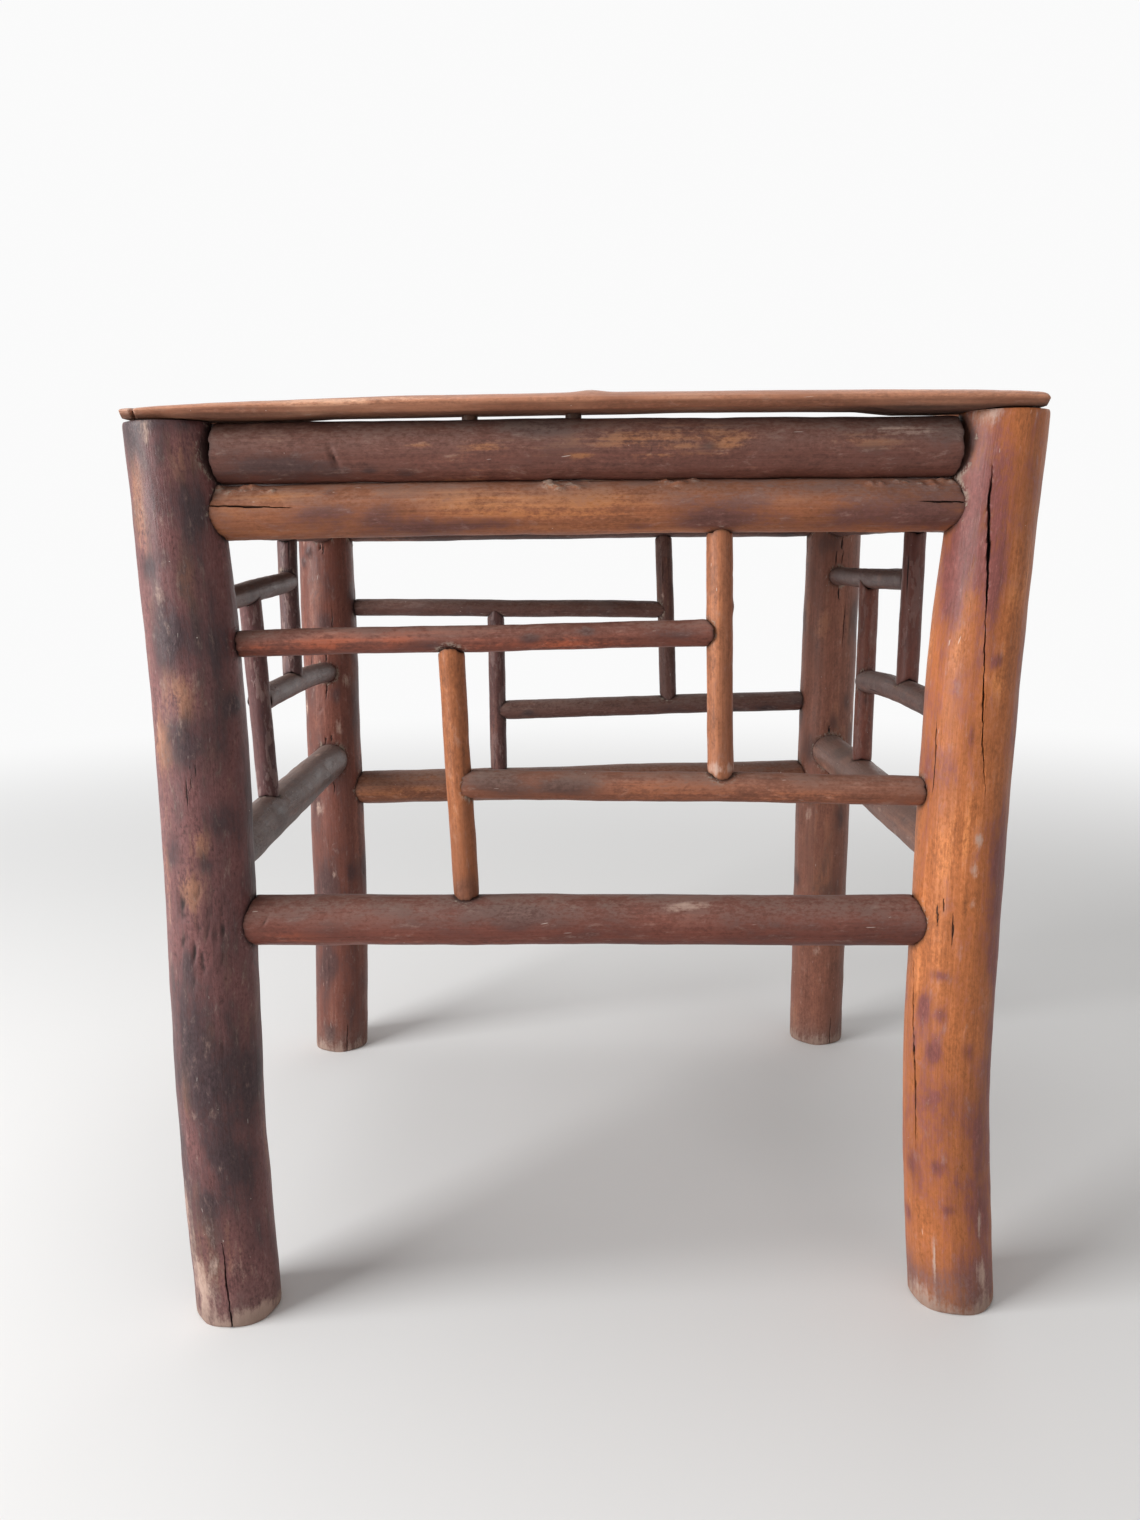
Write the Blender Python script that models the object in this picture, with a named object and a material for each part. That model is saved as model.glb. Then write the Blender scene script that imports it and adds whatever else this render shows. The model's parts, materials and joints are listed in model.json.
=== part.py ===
"""Round-pole side table: bent legs, paired rails, a pinwheel lattice on each side and a let-in board top.

Metres, +Z up. The origin is on the floor at the middle of the footprint, and the front faces -Y.
Every pole is let into the next one with a coped shoulder and a round stub tenon in a blind mortise.
"""

from math import cos, pi, radians, sin, sqrt

import bmesh
import bpy
from mathutils import Vector

# Fit between pieces that touch
CLEARANCE = 0.0003

# Legs: poles that grew with a bend
LEG_HEIGHT = 0.480
FRAME_HALF_WIDTH = 0.2000
FRAME_HALF_DEPTH = 0.1765
FRONT_LEG_RADIUS = 0.0230
BACK_LEG_RADIUS = 0.0216
LEG_TOP_TAPER = 0.0012
FOOT_BEVEL = 0.0018

# Outward sway of each leg's axis, sideways and in depth, from foot to top at even steps
LEG_SWAY = {
    "front_left": (
        (-0.0008, 0.0022, -0.0001, 0.0002, 0.0058),
        (0.0010, 0.0005, 0.0008, -0.0002, -0.0009),
    ),
    "front_right": (
        (-0.0003, -0.0073, -0.0063, -0.0026, 0.0058),
        (0.0010, -0.0008, -0.0012, -0.0014, -0.0009),
    ),
    "back_left": (
        (0.0050, 0.0006, -0.0003, -0.0011, -0.0021),
        (0.0010, 0.0012, 0.0002, -0.0008, -0.0009),
    ),
    "back_right": (
        (-0.0001, -0.0001, 0.0006, 0.0028, 0.0045),
        (0.0010, 0.0000, -0.0006, 0.0002, -0.0009),
    ),
}

# Rails and stretchers
UPPER_RAIL_RADIUS = 0.0149
LOWER_RAIL_RADIUS = 0.0132
STRETCHER_RADIUS = 0.0133
UPPER_RAIL_DROP = 0.0185
RAIL_TENON_RADIUS = 0.0078
TENON_WEB = 0.0026

# Lattice: heights step down from the lower rail's axis, on the long sides and on the short sides
LONG_RAIL_TO_HIGH_STICK = 0.0650
LONG_HIGH_TO_LOW_STICK = 0.0790
LONG_LOW_STICK_TO_STRETCHER = 0.0675
SHORT_RAIL_TO_HIGH_STICK = 0.0427
SHORT_HIGH_TO_LOW_STICK = 0.0700
SHORT_LOW_STICK_TO_STRETCHER = 0.0703
LONG_POST_OFFSET = 0.0675
SHORT_POST_OFFSET = 0.0490
HIGH_STICK_RADIUS = 0.0068
LOW_STICK_RADIUS = 0.0078
POST_RADIUS = 0.0067
STICK_TENON_RADIUS = 0.0036
STICK_TENON_DEPTH = 0.0058

# Hand-set height of each level pole at its two ends, off its nominal height
SET_HEIGHTS = {
    "front": {"high": (0.0000, 0.0028), "low": (-0.0020, 0.0055), "stretcher": (0.0024, -0.0043)},
    "back": {"high": (0.0010, -0.0042), "low": (0.0005, -0.0042), "stretcher": (0.0003, 0.0051)},
    "left": {"high": (-0.0043, 0.0035), "low": (-0.0021, 0.0031), "stretcher": (0.0000, -0.0012)},
    "right": {"high": (-0.0020, 0.0020), "low": (0.0011, -0.0017), "stretcher": (0.0002, 0.0005)},
}

# Hand-set lean of each upright at its top and its foot, along the side
SET_LEANS = {
    "front": {"standing": (-0.0026, 0.0019), "hanging": (-0.0022, -0.0004)},
    "back": {"standing": (0.0014, 0.0011), "hanging": (0.0007, 0.0054)},
    "left": {"standing": (-0.0130, 0.0070), "hanging": (-0.0020, -0.0130)},
    "right": {"standing": (0.0075, -0.0025), "hanging": (0.0045, -0.0056)},
}

# Top boards, let into the upper rails, and the half-round braces under them
BOARD_COUNT = 4
BOARD_THICKNESS = 0.0090
BOARD_GAP = 0.0006
BOARD_SEAT = 0.0065
BRACE_OFFSET = 0.0850
BRACE_RADIUS = 0.0120
BRACE_TENON_DROP = 0.0065
BRACE_TENON_RADIUS = 0.0032
BRACE_TENON_DEPTH = 0.0080

# Rim: slabs split off bowed poles, flat underneath, pegged to the rails and the leg tops
RIM_OVERHANG = 0.0005
RIM_WIDTH = 0.0360
RIM_MID_THICKNESS = 0.0086
RIM_THIN_END = 0.0032
RIM_BLUNT_END = 0.0058
RIM_EDGE = 0.0022
PEG_RADIUS = 0.0040
PEG_DEPTH = 0.0110
PEG_PROUD = 0.0006
PEG_PLACES = (-0.0580, -0.0070)

# Shoulders start this share of the receiving pole's radius away from its axis
SHOULDER_SHARE = 0.5
TENON_ROOT = 0.0060
LEG_SIDES = 18
RAIL_SIDES = 14
STICK_SIDES = 10
TENON_SIDES = 8
LEG_RINGS = 8

# Heights that follow from the sizes above
UPPER_Z = LEG_HEIGHT - UPPER_RAIL_DROP
LOWER_Z = UPPER_Z - UPPER_RAIL_RADIUS - LOWER_RAIL_RADIUS - CLEARANCE
BOARD_Z = UPPER_Z + CLEARANCE
RIM_Z = LEG_HEIGHT + CLEARANCE

# Each side: its first and second leg, its direction, and the leg its high stick starts from
SIDES = {
    "front": ("front_left", "front_right", "front_left"),
    "back": ("back_left", "back_right", "back_left"),
    "left": ("front_left", "back_left", "front_left"),
    "right": ("front_right", "back_right", "back_right"),
}
LONG_SIDES = ("front", "back")

WOODS = {
    "leg_front_left": (0.115, 0.050, 0.036, 0.62),
    "leg_front_right": (0.305, 0.120, 0.040, 0.55),
    "leg_back_left": (0.150, 0.058, 0.038, 0.62),
    "leg_back_right": (0.185, 0.075, 0.038, 0.62),
    "upper_rail": (0.110, 0.056, 0.038, 0.66),
    "lower_rail": (0.235, 0.100, 0.042, 0.58),
    "stretcher": (0.130, 0.055, 0.038, 0.62),
    "high_stick": (0.150, 0.058, 0.036, 0.58),
    "low_stick": (0.180, 0.080, 0.040, 0.58),
    "post": (0.250, 0.110, 0.044, 0.58),
    "top_board": (0.200, 0.095, 0.045, 0.64),
    "board_brace": (0.170, 0.080, 0.042, 0.68),
    "rim_strip": (0.330, 0.160, 0.090, 0.60),
    "peg": (0.120, 0.060, 0.036, 0.66),
}


def clear_scene():
    for item in list(bpy.data.objects):
        bpy.data.objects.remove(item, do_unlink=True)


def wood(name, kind):
    """A material of its own for the piece, in the wood colour of its kind."""
    red, green, blue, rough = WOODS[kind]
    material = bpy.data.materials.new(name)
    material.use_nodes = True
    shader = material.node_tree.nodes["Principled BSDF"]
    shader.inputs["Base Color"].default_value = (red, green, blue, 1.0)
    shader.inputs["Roughness"].default_value = rough
    shader.inputs["Metallic"].default_value = 0.0
    return material


def skin(name, rings, origin):
    """A closed solid through rings of points, capped at both ends, with its object at origin."""
    bm = bmesh.new()
    loops = [[bm.verts.new(point - origin) for point in ring] for ring in rings]
    for low, high in zip(loops, loops[1:]):
        for i in range(len(low)):
            j = (i + 1) % len(low)
            bm.faces.new((low[i], low[j], high[j], high[i]))
    bm.faces.new(list(reversed(loops[0])))
    bm.faces.new(loops[-1])
    bmesh.ops.recalc_face_normals(bm, faces=bm.faces)
    mesh = bpy.data.meshes.new(name)
    bm.to_mesh(mesh)
    bm.free()
    item = bpy.data.objects.new(name, mesh)
    item.location = origin
    bpy.context.scene.collection.objects.link(item)
    return item


def circle(centre, across, upward, radius, sides):
    """A ring of points whose first one lies upward, so facing poles meet point to point."""
    angles = [2 * pi * i / sides for i in range(sides)]
    return [centre + radius * (upward * cos(a) + across * sin(a)) for a in angles]


def round_bar(name, start, end, radius, sides):
    """A straight round bar between two points."""
    along = (end - start).normalized()
    level = abs(along.z) < 0.7
    across = along.cross(Vector((0, 0, 1)) if level else Vector((0, 1, 0))).normalized()
    upward = across.cross(along).normalized()
    rings = [circle(point, across, upward, radius, sides) for point in (start, end)]
    return skin(name, rings, (start + end) / 2)


def boolean(target, tool, operation):
    """Cut or join the tool into the target, and take the tool away."""
    tool.hide_render = True
    tool.display_type = "WIRE"
    modifier = target.modifiers.new("fit", "BOOLEAN")
    modifier.solver = "EXACT"
    modifier.operation = operation
    modifier.object = tool
    graph = bpy.context.evaluated_depsgraph_get()
    mesh = bpy.data.meshes.new_from_object(target.evaluated_get(graph))
    target.modifiers.clear()
    old = target.data
    target.data = mesh
    bpy.data.meshes.remove(old)
    bpy.data.objects.remove(tool, do_unlink=True)


def cut(target, tool):
    boolean(target, tool, "DIFFERENCE")


def join(target, tool):
    boolean(target, tool, "UNION")


def grown(radius, sides):
    """The radius of a facetted bar whose flats stand one clearance outside those of the given one."""
    return radius + CLEARANCE / cos(pi / sides)


def along_steps(values, share):
    """A smooth value through evenly spaced ones, at a share of the whole length."""
    last = len(values) - 1
    place = min(max(share, 0.0), 1.0) * last
    i = min(int(place), last - 1)
    t = place - i
    before = values[i - 1] if i > 0 else 2 * values[i] - values[i + 1]
    after = values[i + 2] if i + 2 <= last else 2 * values[i + 1] - values[i]
    slope_in = (values[i + 1] - before) / 2
    slope_out = (after - values[i]) / 2
    rise = values[i + 1] - values[i]
    bend = t * t * (3 - 2 * t) * rise
    return values[i] + bend + (t**3 - 2 * t**2 + t) * slope_in + (t**3 - t**2) * slope_out


class Leg:
    """A bent, upright pole with a worn, bevelled foot."""

    def __init__(self, corner):
        self.corner = corner
        self.front = corner.startswith("front")
        self.base_radius = FRONT_LEG_RADIUS if self.front else BACK_LEG_RADIUS
        self.sides = LEG_SIDES
        self.sign_x = -1 if corner.endswith("left") else 1
        self.sign_y = -1 if self.front else 1
        self.item = self.solid("leg_" + corner)

    def axis(self, z):
        share = z / LEG_HEIGHT
        sideways, depth = LEG_SWAY[self.corner]
        x = self.sign_x * (FRAME_HALF_WIDTH + along_steps(sideways, share))
        y = self.sign_y * (FRAME_HALF_DEPTH + along_steps(depth, share))
        return Vector((x, y, z))

    def radius_at(self, z):
        share = max(z / LEG_HEIGHT - 0.75, 0.0) * 4
        return self.base_radius - LEG_TOP_TAPER * share

    def heights(self):
        even = [LEG_HEIGHT * i / LEG_RINGS for i in range(1, LEG_RINGS + 1)]
        return [0.0, FOOT_BEVEL] + even

    def solid(self, name, extra=0.0):
        rings = []
        for z in self.heights():
            radius = self.radius_at(z) + extra
            if z == 0.0:
                radius = radius - FOOT_BEVEL
            rings.append(circle(self.axis(z), Vector((0, 1, 0)), Vector((1, 0, 0)), radius, self.sides))
        return skin(name, rings, self.axis(0.0))

    def cutter(self):
        return self.solid("cutter", CLEARANCE / cos(pi / self.sides))

    def reach(self):
        """How far the leg stands out from the middle, sideways and in depth."""
        found = [(self.axis(z), self.radius_at(z)) for z in self.heights()[1:]]
        wide = max(abs(point.x) + radius for point, radius in found)
        deep = max(abs(point.y) + radius for point, radius in found)
        return wide, deep


class Pole:
    """A straight pole from one receiving pole's axis to another's."""

    def __init__(self, name, start, end, radius, sides, start_radius, end_radius):
        self.name = name
        self.start = start
        self.end = end
        self.radius = radius
        self.sides = sides
        self.along = (end - start).normalized()
        self.body_start = start + self.along * start_radius * SHOULDER_SHARE
        self.body_end = end - self.along * end_radius * SHOULDER_SHARE
        self.item = round_bar(name, self.body_start, self.body_end, radius, sides)

    def radius_at(self, z):
        return self.radius

    def at(self, share):
        return self.start.lerp(self.end, share)

    def cutter(self):
        return round_bar("cutter", self.body_start, self.body_end, grown(self.radius, self.sides), self.sides)


def let_in(pole, at_end, receiver, tenon_radius, tenon_stop):
    """Cope one end of a pole round its receiver and seat a stub tenon in a blind mortise there."""
    tip = pole.end if at_end else pole.start
    inward = -pole.along if at_end else pole.along
    root = tip + inward * (receiver.radius_at(tip.z) + TENON_ROOT)
    nose = tip + inward * tenon_stop
    deep = tip + inward * (tenon_stop - CLEARANCE)
    cut(pole.item, receiver.cutter())
    join(pole.item, round_bar("tenon", nose, root, tenon_radius, TENON_SIDES))
    cut(receiver.item, round_bar("mortise", deep, root, grown(tenon_radius, TENON_SIDES), TENON_SIDES))


def let_into_leg(pole, at_end, leg, tenon_radius):
    """Tenons from two sides stop short of the leg's core, so they pass each other with a web between."""
    let_in(pole, at_end, leg, tenon_radius, RAIL_TENON_RADIUS + TENON_WEB)


def let_into_pole(pole, at_end, receiver):
    let_in(pole, at_end, receiver, STICK_TENON_RADIUS, receiver.radius - STICK_TENON_DEPTH)


def clear_of(pole, others):
    """Trim a pole where a neighbour at the same corner would touch it."""
    for other in others:
        cut(pole.item, other.cutter())


def rail_between(name, first, second, z, radius, offsets=(0.0, 0.0)):
    start = first.axis(z + offsets[0])
    end = second.axis(z + offsets[1])
    return Pole(name, start, end, radius, RAIL_SIDES, first.radius_at(start.z), second.radius_at(end.z))


def point_at_height(pole, z):
    """The point of an upright's axis at a height."""
    return pole.at((z - pole.start.z) / (pole.end.z - pole.start.z))


def side_members(side, legs):
    """The two rails, the stretcher and the four lattice sticks of one side."""
    first, second, high_from = (legs[corner] for corner in SIDES[side])
    low_from = second if high_from is first else first
    long_side = side in LONG_SIDES
    step_high = LONG_RAIL_TO_HIGH_STICK if long_side else SHORT_RAIL_TO_HIGH_STICK
    step_low = LONG_HIGH_TO_LOW_STICK if long_side else SHORT_HIGH_TO_LOW_STICK
    step_foot = LONG_LOW_STICK_TO_STRETCHER if long_side else SHORT_LOW_STICK_TO_STRETCHER
    offset = LONG_POST_OFFSET if long_side else SHORT_POST_OFFSET
    heights = SET_HEIGHTS[side]
    leans = SET_LEANS[side]
    high_z = LOWER_Z - step_high
    low_z = high_z - step_low
    foot_z = low_z - step_foot
    toward = 1 if high_from is first else -1

    upper = rail_between("upper_rail_" + side, first, second, UPPER_Z, UPPER_RAIL_RADIUS)
    lower = rail_between("lower_rail_" + side, first, second, LOWER_Z, LOWER_RAIL_RADIUS)
    stretcher = rail_between(
        "stretcher_" + side, first, second, foot_z, STRETCHER_RADIUS, heights["stretcher"]
    )

    def on_side(u, z):
        """The point of the side's surface at a place along it and a height."""
        a = first.axis(z)
        b = second.axis(z)
        pick = 0 if long_side else 1
        return a.lerp(b, (u - a[pick]) / (b[pick] - a[pick]))

    standing_u = [-toward * offset + lean for lean in leans["standing"]]
    hanging_u = [toward * offset + lean for lean in leans["hanging"]]
    stretcher_share = (standing_u[1] + FRAME_HALF_WIDTH) / (2 * FRAME_HALF_WIDTH)
    standing_foot_z = stretcher.start.z + (stretcher.end.z - stretcher.start.z) * stretcher_share
    standing = Pole(
        "standing_post_" + side,
        on_side(standing_u[0], high_z),
        on_side(standing_u[1], standing_foot_z),
        POST_RADIUS,
        STICK_SIDES,
        HIGH_STICK_RADIUS,
        STRETCHER_RADIUS,
    )
    hanging = Pole(
        "hanging_post_" + side,
        on_side(hanging_u[0], LOWER_Z),
        on_side(hanging_u[1], low_z),
        POST_RADIUS,
        STICK_SIDES,
        LOWER_RAIL_RADIUS,
        LOW_STICK_RADIUS,
    )
    high_start = high_from.axis(high_z + heights["high"][0])
    low_start = low_from.axis(low_z + heights["low"][0])
    high = Pole(
        "high_stick_" + side,
        high_start,
        point_at_height(hanging, high_z + heights["high"][1]),
        HIGH_STICK_RADIUS,
        STICK_SIDES,
        high_from.radius_at(high_start.z),
        POST_RADIUS,
    )
    low = Pole(
        "low_stick_" + side,
        low_start,
        point_at_height(standing, low_z + heights["low"][1]),
        LOW_STICK_RADIUS,
        STICK_SIDES,
        low_from.radius_at(low_start.z),
        POST_RADIUS,
    )
    return {
        "first": first,
        "second": second,
        "high_from": high_from,
        "low_from": low_from,
        "upper": upper,
        "lower": lower,
        "stretcher": stretcher,
        "standing": standing,
        "hanging": hanging,
        "high": high,
        "low": low,
    }


def fit_side(members):
    """Let every pole of one side into what carries it."""
    first = members["first"]
    second = members["second"]
    for name in ("upper", "lower", "stretcher"):
        let_into_leg(members[name], False, first, RAIL_TENON_RADIUS)
        let_into_leg(members[name], True, second, RAIL_TENON_RADIUS)
    let_into_leg(members["high"], False, members["high_from"], STICK_TENON_RADIUS)
    let_into_leg(members["low"], False, members["low_from"], STICK_TENON_RADIUS)
    let_into_pole(members["high"], True, members["hanging"])
    let_into_pole(members["low"], True, members["standing"])
    let_into_pole(members["hanging"], False, members["lower"])
    let_into_pole(members["hanging"], True, members["low"])
    let_into_pole(members["standing"], False, members["high"])
    let_into_pole(members["standing"], True, members["stretcher"])


def inward_of(side):
    return {
        "front": Vector((0, 1, 0)),
        "back": Vector((0, -1, 0)),
        "left": Vector((1, 0, 0)),
        "right": Vector((-1, 0, 0)),
    }[side]


def cut_rebate(side, upper):
    """The ledge along the inner, upper quarter of an upper rail, where the board edges lie."""
    inward = inward_of(side)
    near = UPPER_RAIL_RADIUS - BOARD_SEAT
    far = UPPER_RAIL_RADIUS * 1.5
    rings = []
    for point in (upper.body_start, upper.body_end):
        base = Vector((point.x, point.y, UPPER_Z))
        lift = Vector((0, 0, UPPER_RAIL_RADIUS * 1.5))
        rings.append([base + inward * near, base + inward * far, base + inward * far + lift, base + inward * near + lift])
    cut(upper.item, skin("rebate", rings, upper.at(0.5)))


def board_edge(side, upper):
    """The line along which the boards stop, one clearance short of the rail's lip."""
    reach = UPPER_RAIL_RADIUS - BOARD_SEAT + CLEARANCE
    return [point + inward_of(side) * reach for point in (upper.start, upper.end)]


def crossing(line, other):
    """Where two lines cross, seen from above."""
    a, b = line
    c, d = other
    ab = b - a
    cd = d - c
    share = ((c.x - a.x) * cd.y - (c.y - a.y) * cd.x) / (ab.x * cd.y - ab.y * cd.x)
    return a + ab * share


def top_boards(sides, legs):
    """Boards side by side from the left rail to the right one, notched round the legs."""
    edges = {side: board_edge(side, sides[side]["upper"]) for side in SIDES}
    front = [crossing(edges["front"], edges[end]) for end in ("left", "right")]
    back = [crossing(edges["back"], edges[end]) for end in ("left", "right")]
    boards = []
    for i in range(BOARD_COUNT):
        outline = []
        for end in (0, 1):
            run = back[end] - front[end]
            low = front[end] + run * (i / BOARD_COUNT)
            high = front[end] + run * ((i + 1) / BOARD_COUNT)
            inset = run.normalized() * BOARD_GAP / 2
            low = low + inset if i > 0 else low
            high = high - inset if i < BOARD_COUNT - 1 else high
            outline.append((low, high))
        corners = [outline[0][0], outline[1][0], outline[1][1], outline[0][1]]
        rings = []
        for z in (BOARD_Z, BOARD_Z + BOARD_THICKNESS):
            rings.append([Vector((point.x, point.y, z)) for point in corners])
        board = skin("top_board_" + str(i + 1), rings, sum(rings[0], Vector()) / 4)
        if i in (0, BOARD_COUNT - 1):
            for leg in legs.values():
                cut(board, leg.cutter())
        boards.append(board)
    return boards


def half_round(radius, steps):
    """A half disc below a flat top, as sideways and upward distances."""
    return [(-radius * cos(pi * i / steps), -radius * sin(pi * i / steps)) for i in range(steps + 1)]


def board_braces(sides):
    """Half-round battens under the boards, stub-tenoned into the front and back rails."""
    front = sides["front"]["upper"]
    back = sides["back"]["upper"]
    braces = []
    for name, x in (("left", -BRACE_OFFSET), ("right", BRACE_OFFSET)):
        ends = []
        for rail in (front, back):
            ends.append(rail.at((x - rail.start.x) / (rail.end.x - rail.start.x)))
        along = (ends[1] - ends[0]).normalized()
        shoulder = along * UPPER_RAIL_RADIUS * SHOULDER_SHARE
        rings = []
        for point in (ends[0] + shoulder, ends[1] - shoulder):
            ring = [Vector((point.x + u, point.y, UPPER_Z + v)) for u, v in half_round(BRACE_RADIUS, 8)]
            rings.append(ring)
        brace = skin("board_brace_" + name, rings, (ends[0] + ends[1]) / 2)
        for rail, tip, inward in ((front, ends[0], along), (back, ends[1], -along)):
            axis = tip - Vector((0, 0, BRACE_TENON_DROP))
            root = axis + inward * (UPPER_RAIL_RADIUS + TENON_ROOT)
            stop = UPPER_RAIL_RADIUS - BRACE_TENON_DEPTH
            nose = axis + inward * stop
            deep = axis + inward * (stop - CLEARANCE)
            cut(brace, rail.cutter())
            join(brace, round_bar("tenon", nose, root, BRACE_TENON_RADIUS, TENON_SIDES))
            wide = grown(BRACE_TENON_RADIUS, TENON_SIDES)
            cut(rail.item, round_bar("mortise", deep, root, wide, TENON_SIDES))
        braces.append(brace)
    return braces


def slab_thickness(share):
    """The crest of a split slab: a long thin end, a full middle and a blunt end."""
    if share < 0.5:
        return RIM_MID_THICKNESS - (RIM_MID_THICKNESS - RIM_THIN_END) * (1 - 2 * share) ** 2
    return RIM_MID_THICKNESS - (RIM_MID_THICKNESS - RIM_BLUNT_END) * (2 * share - 1) ** 6


def slab_section(thickness):
    """A flat underside, short upright edges and a rounded back."""
    half = RIM_WIDTH / 2
    edge = min(RIM_EDGE, thickness * 0.6)
    points = [(-half, 0.0)]
    for i in range(9):
        angle = pi * i / 8
        points.append((-half * cos(angle), edge + (thickness - edge) * sin(angle)))
    points.append((half, 0.0))
    return points


class RimStrip:
    """A split slab along one side, lying across the leg tops."""

    def __init__(self, side, start, end):
        self.side = side
        self.start = start
        self.end = end
        along = (end - start).normalized()
        across = Vector((0, 0, 1)).cross(along)
        rings = []
        for share in (0.0, 0.06, 0.15, 0.30, 0.50, 0.80, 0.90, 0.96, 1.0):
            centre = start.lerp(end, share)
            section = slab_section(slab_thickness(share))
            rings.append([centre + across * u + Vector((0, 0, v)) for u, v in section])
        self.item = skin("rim_strip_" + side, rings, (start + end) / 2)

    def top_at(self, point):
        length = (self.end - self.start).length
        share = (point - self.start).dot((self.end - self.start).normalized()) / length
        return RIM_Z + slab_thickness(share)


def rim_strips(legs):
    """Front and back strips run the full width; the side strips butt between them."""
    wide = max(leg.reach()[0] for leg in legs.values()) + RIM_OVERHANG
    deep = max(leg.reach()[1] for leg in legs.values()) + RIM_OVERHANG
    x = wide - RIM_WIDTH / 2
    y = deep - RIM_WIDTH / 2
    butt = deep - RIM_WIDTH - CLEARANCE
    return {
        "front": RimStrip("front", Vector((-wide, -y, RIM_Z)), Vector((wide, -y, RIM_Z))),
        "back": RimStrip("back", Vector((wide, y, RIM_Z)), Vector((-wide, y, RIM_Z))),
        "left": RimStrip("left", Vector((-x, butt, RIM_Z)), Vector((-x, -butt, RIM_Z))),
        "right": RimStrip("right", Vector((x, -butt, RIM_Z)), Vector((x, butt, RIM_Z))),
    }


def drive_peg(name, strip, carrier, foot):
    """A round peg through a strip into the wood below it."""
    head = Vector((foot.x, foot.y, strip.top_at(foot) + PEG_PROUD))
    low = foot - Vector((0, 0, CLEARANCE))
    high = head + Vector((0, 0, RIM_MID_THICKNESS))
    wide = grown(PEG_RADIUS, TENON_SIDES)
    cut(strip.item, round_bar("hole", low, high, wide, TENON_SIDES))
    cut(carrier, round_bar("hole", low, high, wide, TENON_SIDES))
    return round_bar(name, foot, head, PEG_RADIUS, TENON_SIDES)


def drive_pegs(strips, sides, legs):
    pegs = []
    for side in SIDES:
        upper = sides[side]["upper"]
        pick = 0 if side in LONG_SIDES else 1
        for i, place in enumerate(PEG_PLACES):
            share = (place - upper.start[pick]) / (upper.end[pick] - upper.start[pick])
            foot = upper.at(share) + Vector((0, 0, UPPER_RAIL_RADIUS - PEG_DEPTH))
            name = "rim_peg_" + side + "_" + str(i + 1)
            pegs.append(drive_peg(name, strips[side], upper.item, foot))
    for corner, leg in legs.items():
        strip = strips["front"] if leg.front else strips["back"]
        foot = leg.axis(LEG_HEIGHT) - Vector((0, 0, PEG_DEPTH))
        pegs.append(drive_peg("corner_peg_" + corner, strip, leg.item, foot))
    return pegs


def finish(item, kind, frame):
    """Material, smooth round faces, and the frame empty as parent."""
    item.data.materials.clear()
    item.data.materials.append(wood(item.name, kind))
    item.data.shade_smooth()
    item.data.set_sharp_from_angle(angle=radians(38))
    item.parent = frame


def build():
    clear_scene()
    frame = bpy.data.objects.new("side_table", None)
    bpy.context.scene.collection.objects.link(frame)

    legs = {corner: Leg(corner) for corner in LEG_SWAY}
    sides = {side: side_members(side, legs) for side in SIDES}
    for side in SIDES:
        fit_side(sides[side])
    for side in ("left", "right"):
        for kind in ("upper", "lower", "stretcher"):
            clear_of(sides[side][kind], [sides[other][kind] for other in LONG_SIDES])

    braces = board_braces(sides)
    for side in SIDES:
        cut_rebate(side, sides[side]["upper"])
    boards = top_boards(sides, legs)
    strips = rim_strips(legs)
    pegs = drive_pegs(strips, sides, legs)

    for corner, leg in legs.items():
        finish(leg.item, "leg_" + corner, frame)
    for members in sides.values():
        finish(members["upper"].item, "upper_rail", frame)
        finish(members["lower"].item, "lower_rail", frame)
        finish(members["stretcher"].item, "stretcher", frame)
        finish(members["high"].item, "high_stick", frame)
        finish(members["low"].item, "low_stick", frame)
        finish(members["standing"].item, "post", frame)
        finish(members["hanging"].item, "post", frame)
    for board in boards:
        finish(board, "top_board", frame)
    for brace in braces:
        finish(brace, "board_brace", frame)
    for strip in strips.values():
        finish(strip.item, "rim_strip", frame)
    for peg in pegs:
        finish(peg, "peg", frame)


build()
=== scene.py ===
# %% [markdown]
# # A low side table of bent round poles
# The table is made of poles that were used as they grew: four thick legs, rails and stretchers of
# middle size and thin lattice sticks, with a rim of split poles on top. This lesson dresses the
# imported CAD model, node by node. Places and sizes come from the CAD. Only a few ends and bows depart
# from it, by some millimetres that are named where they are used.

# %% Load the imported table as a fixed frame
import json
import math
import bmesh
import bpy
import numpy as np
from mathutils import Matrix, Vector
from mathutils.bvhtree import BVHTree

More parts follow.
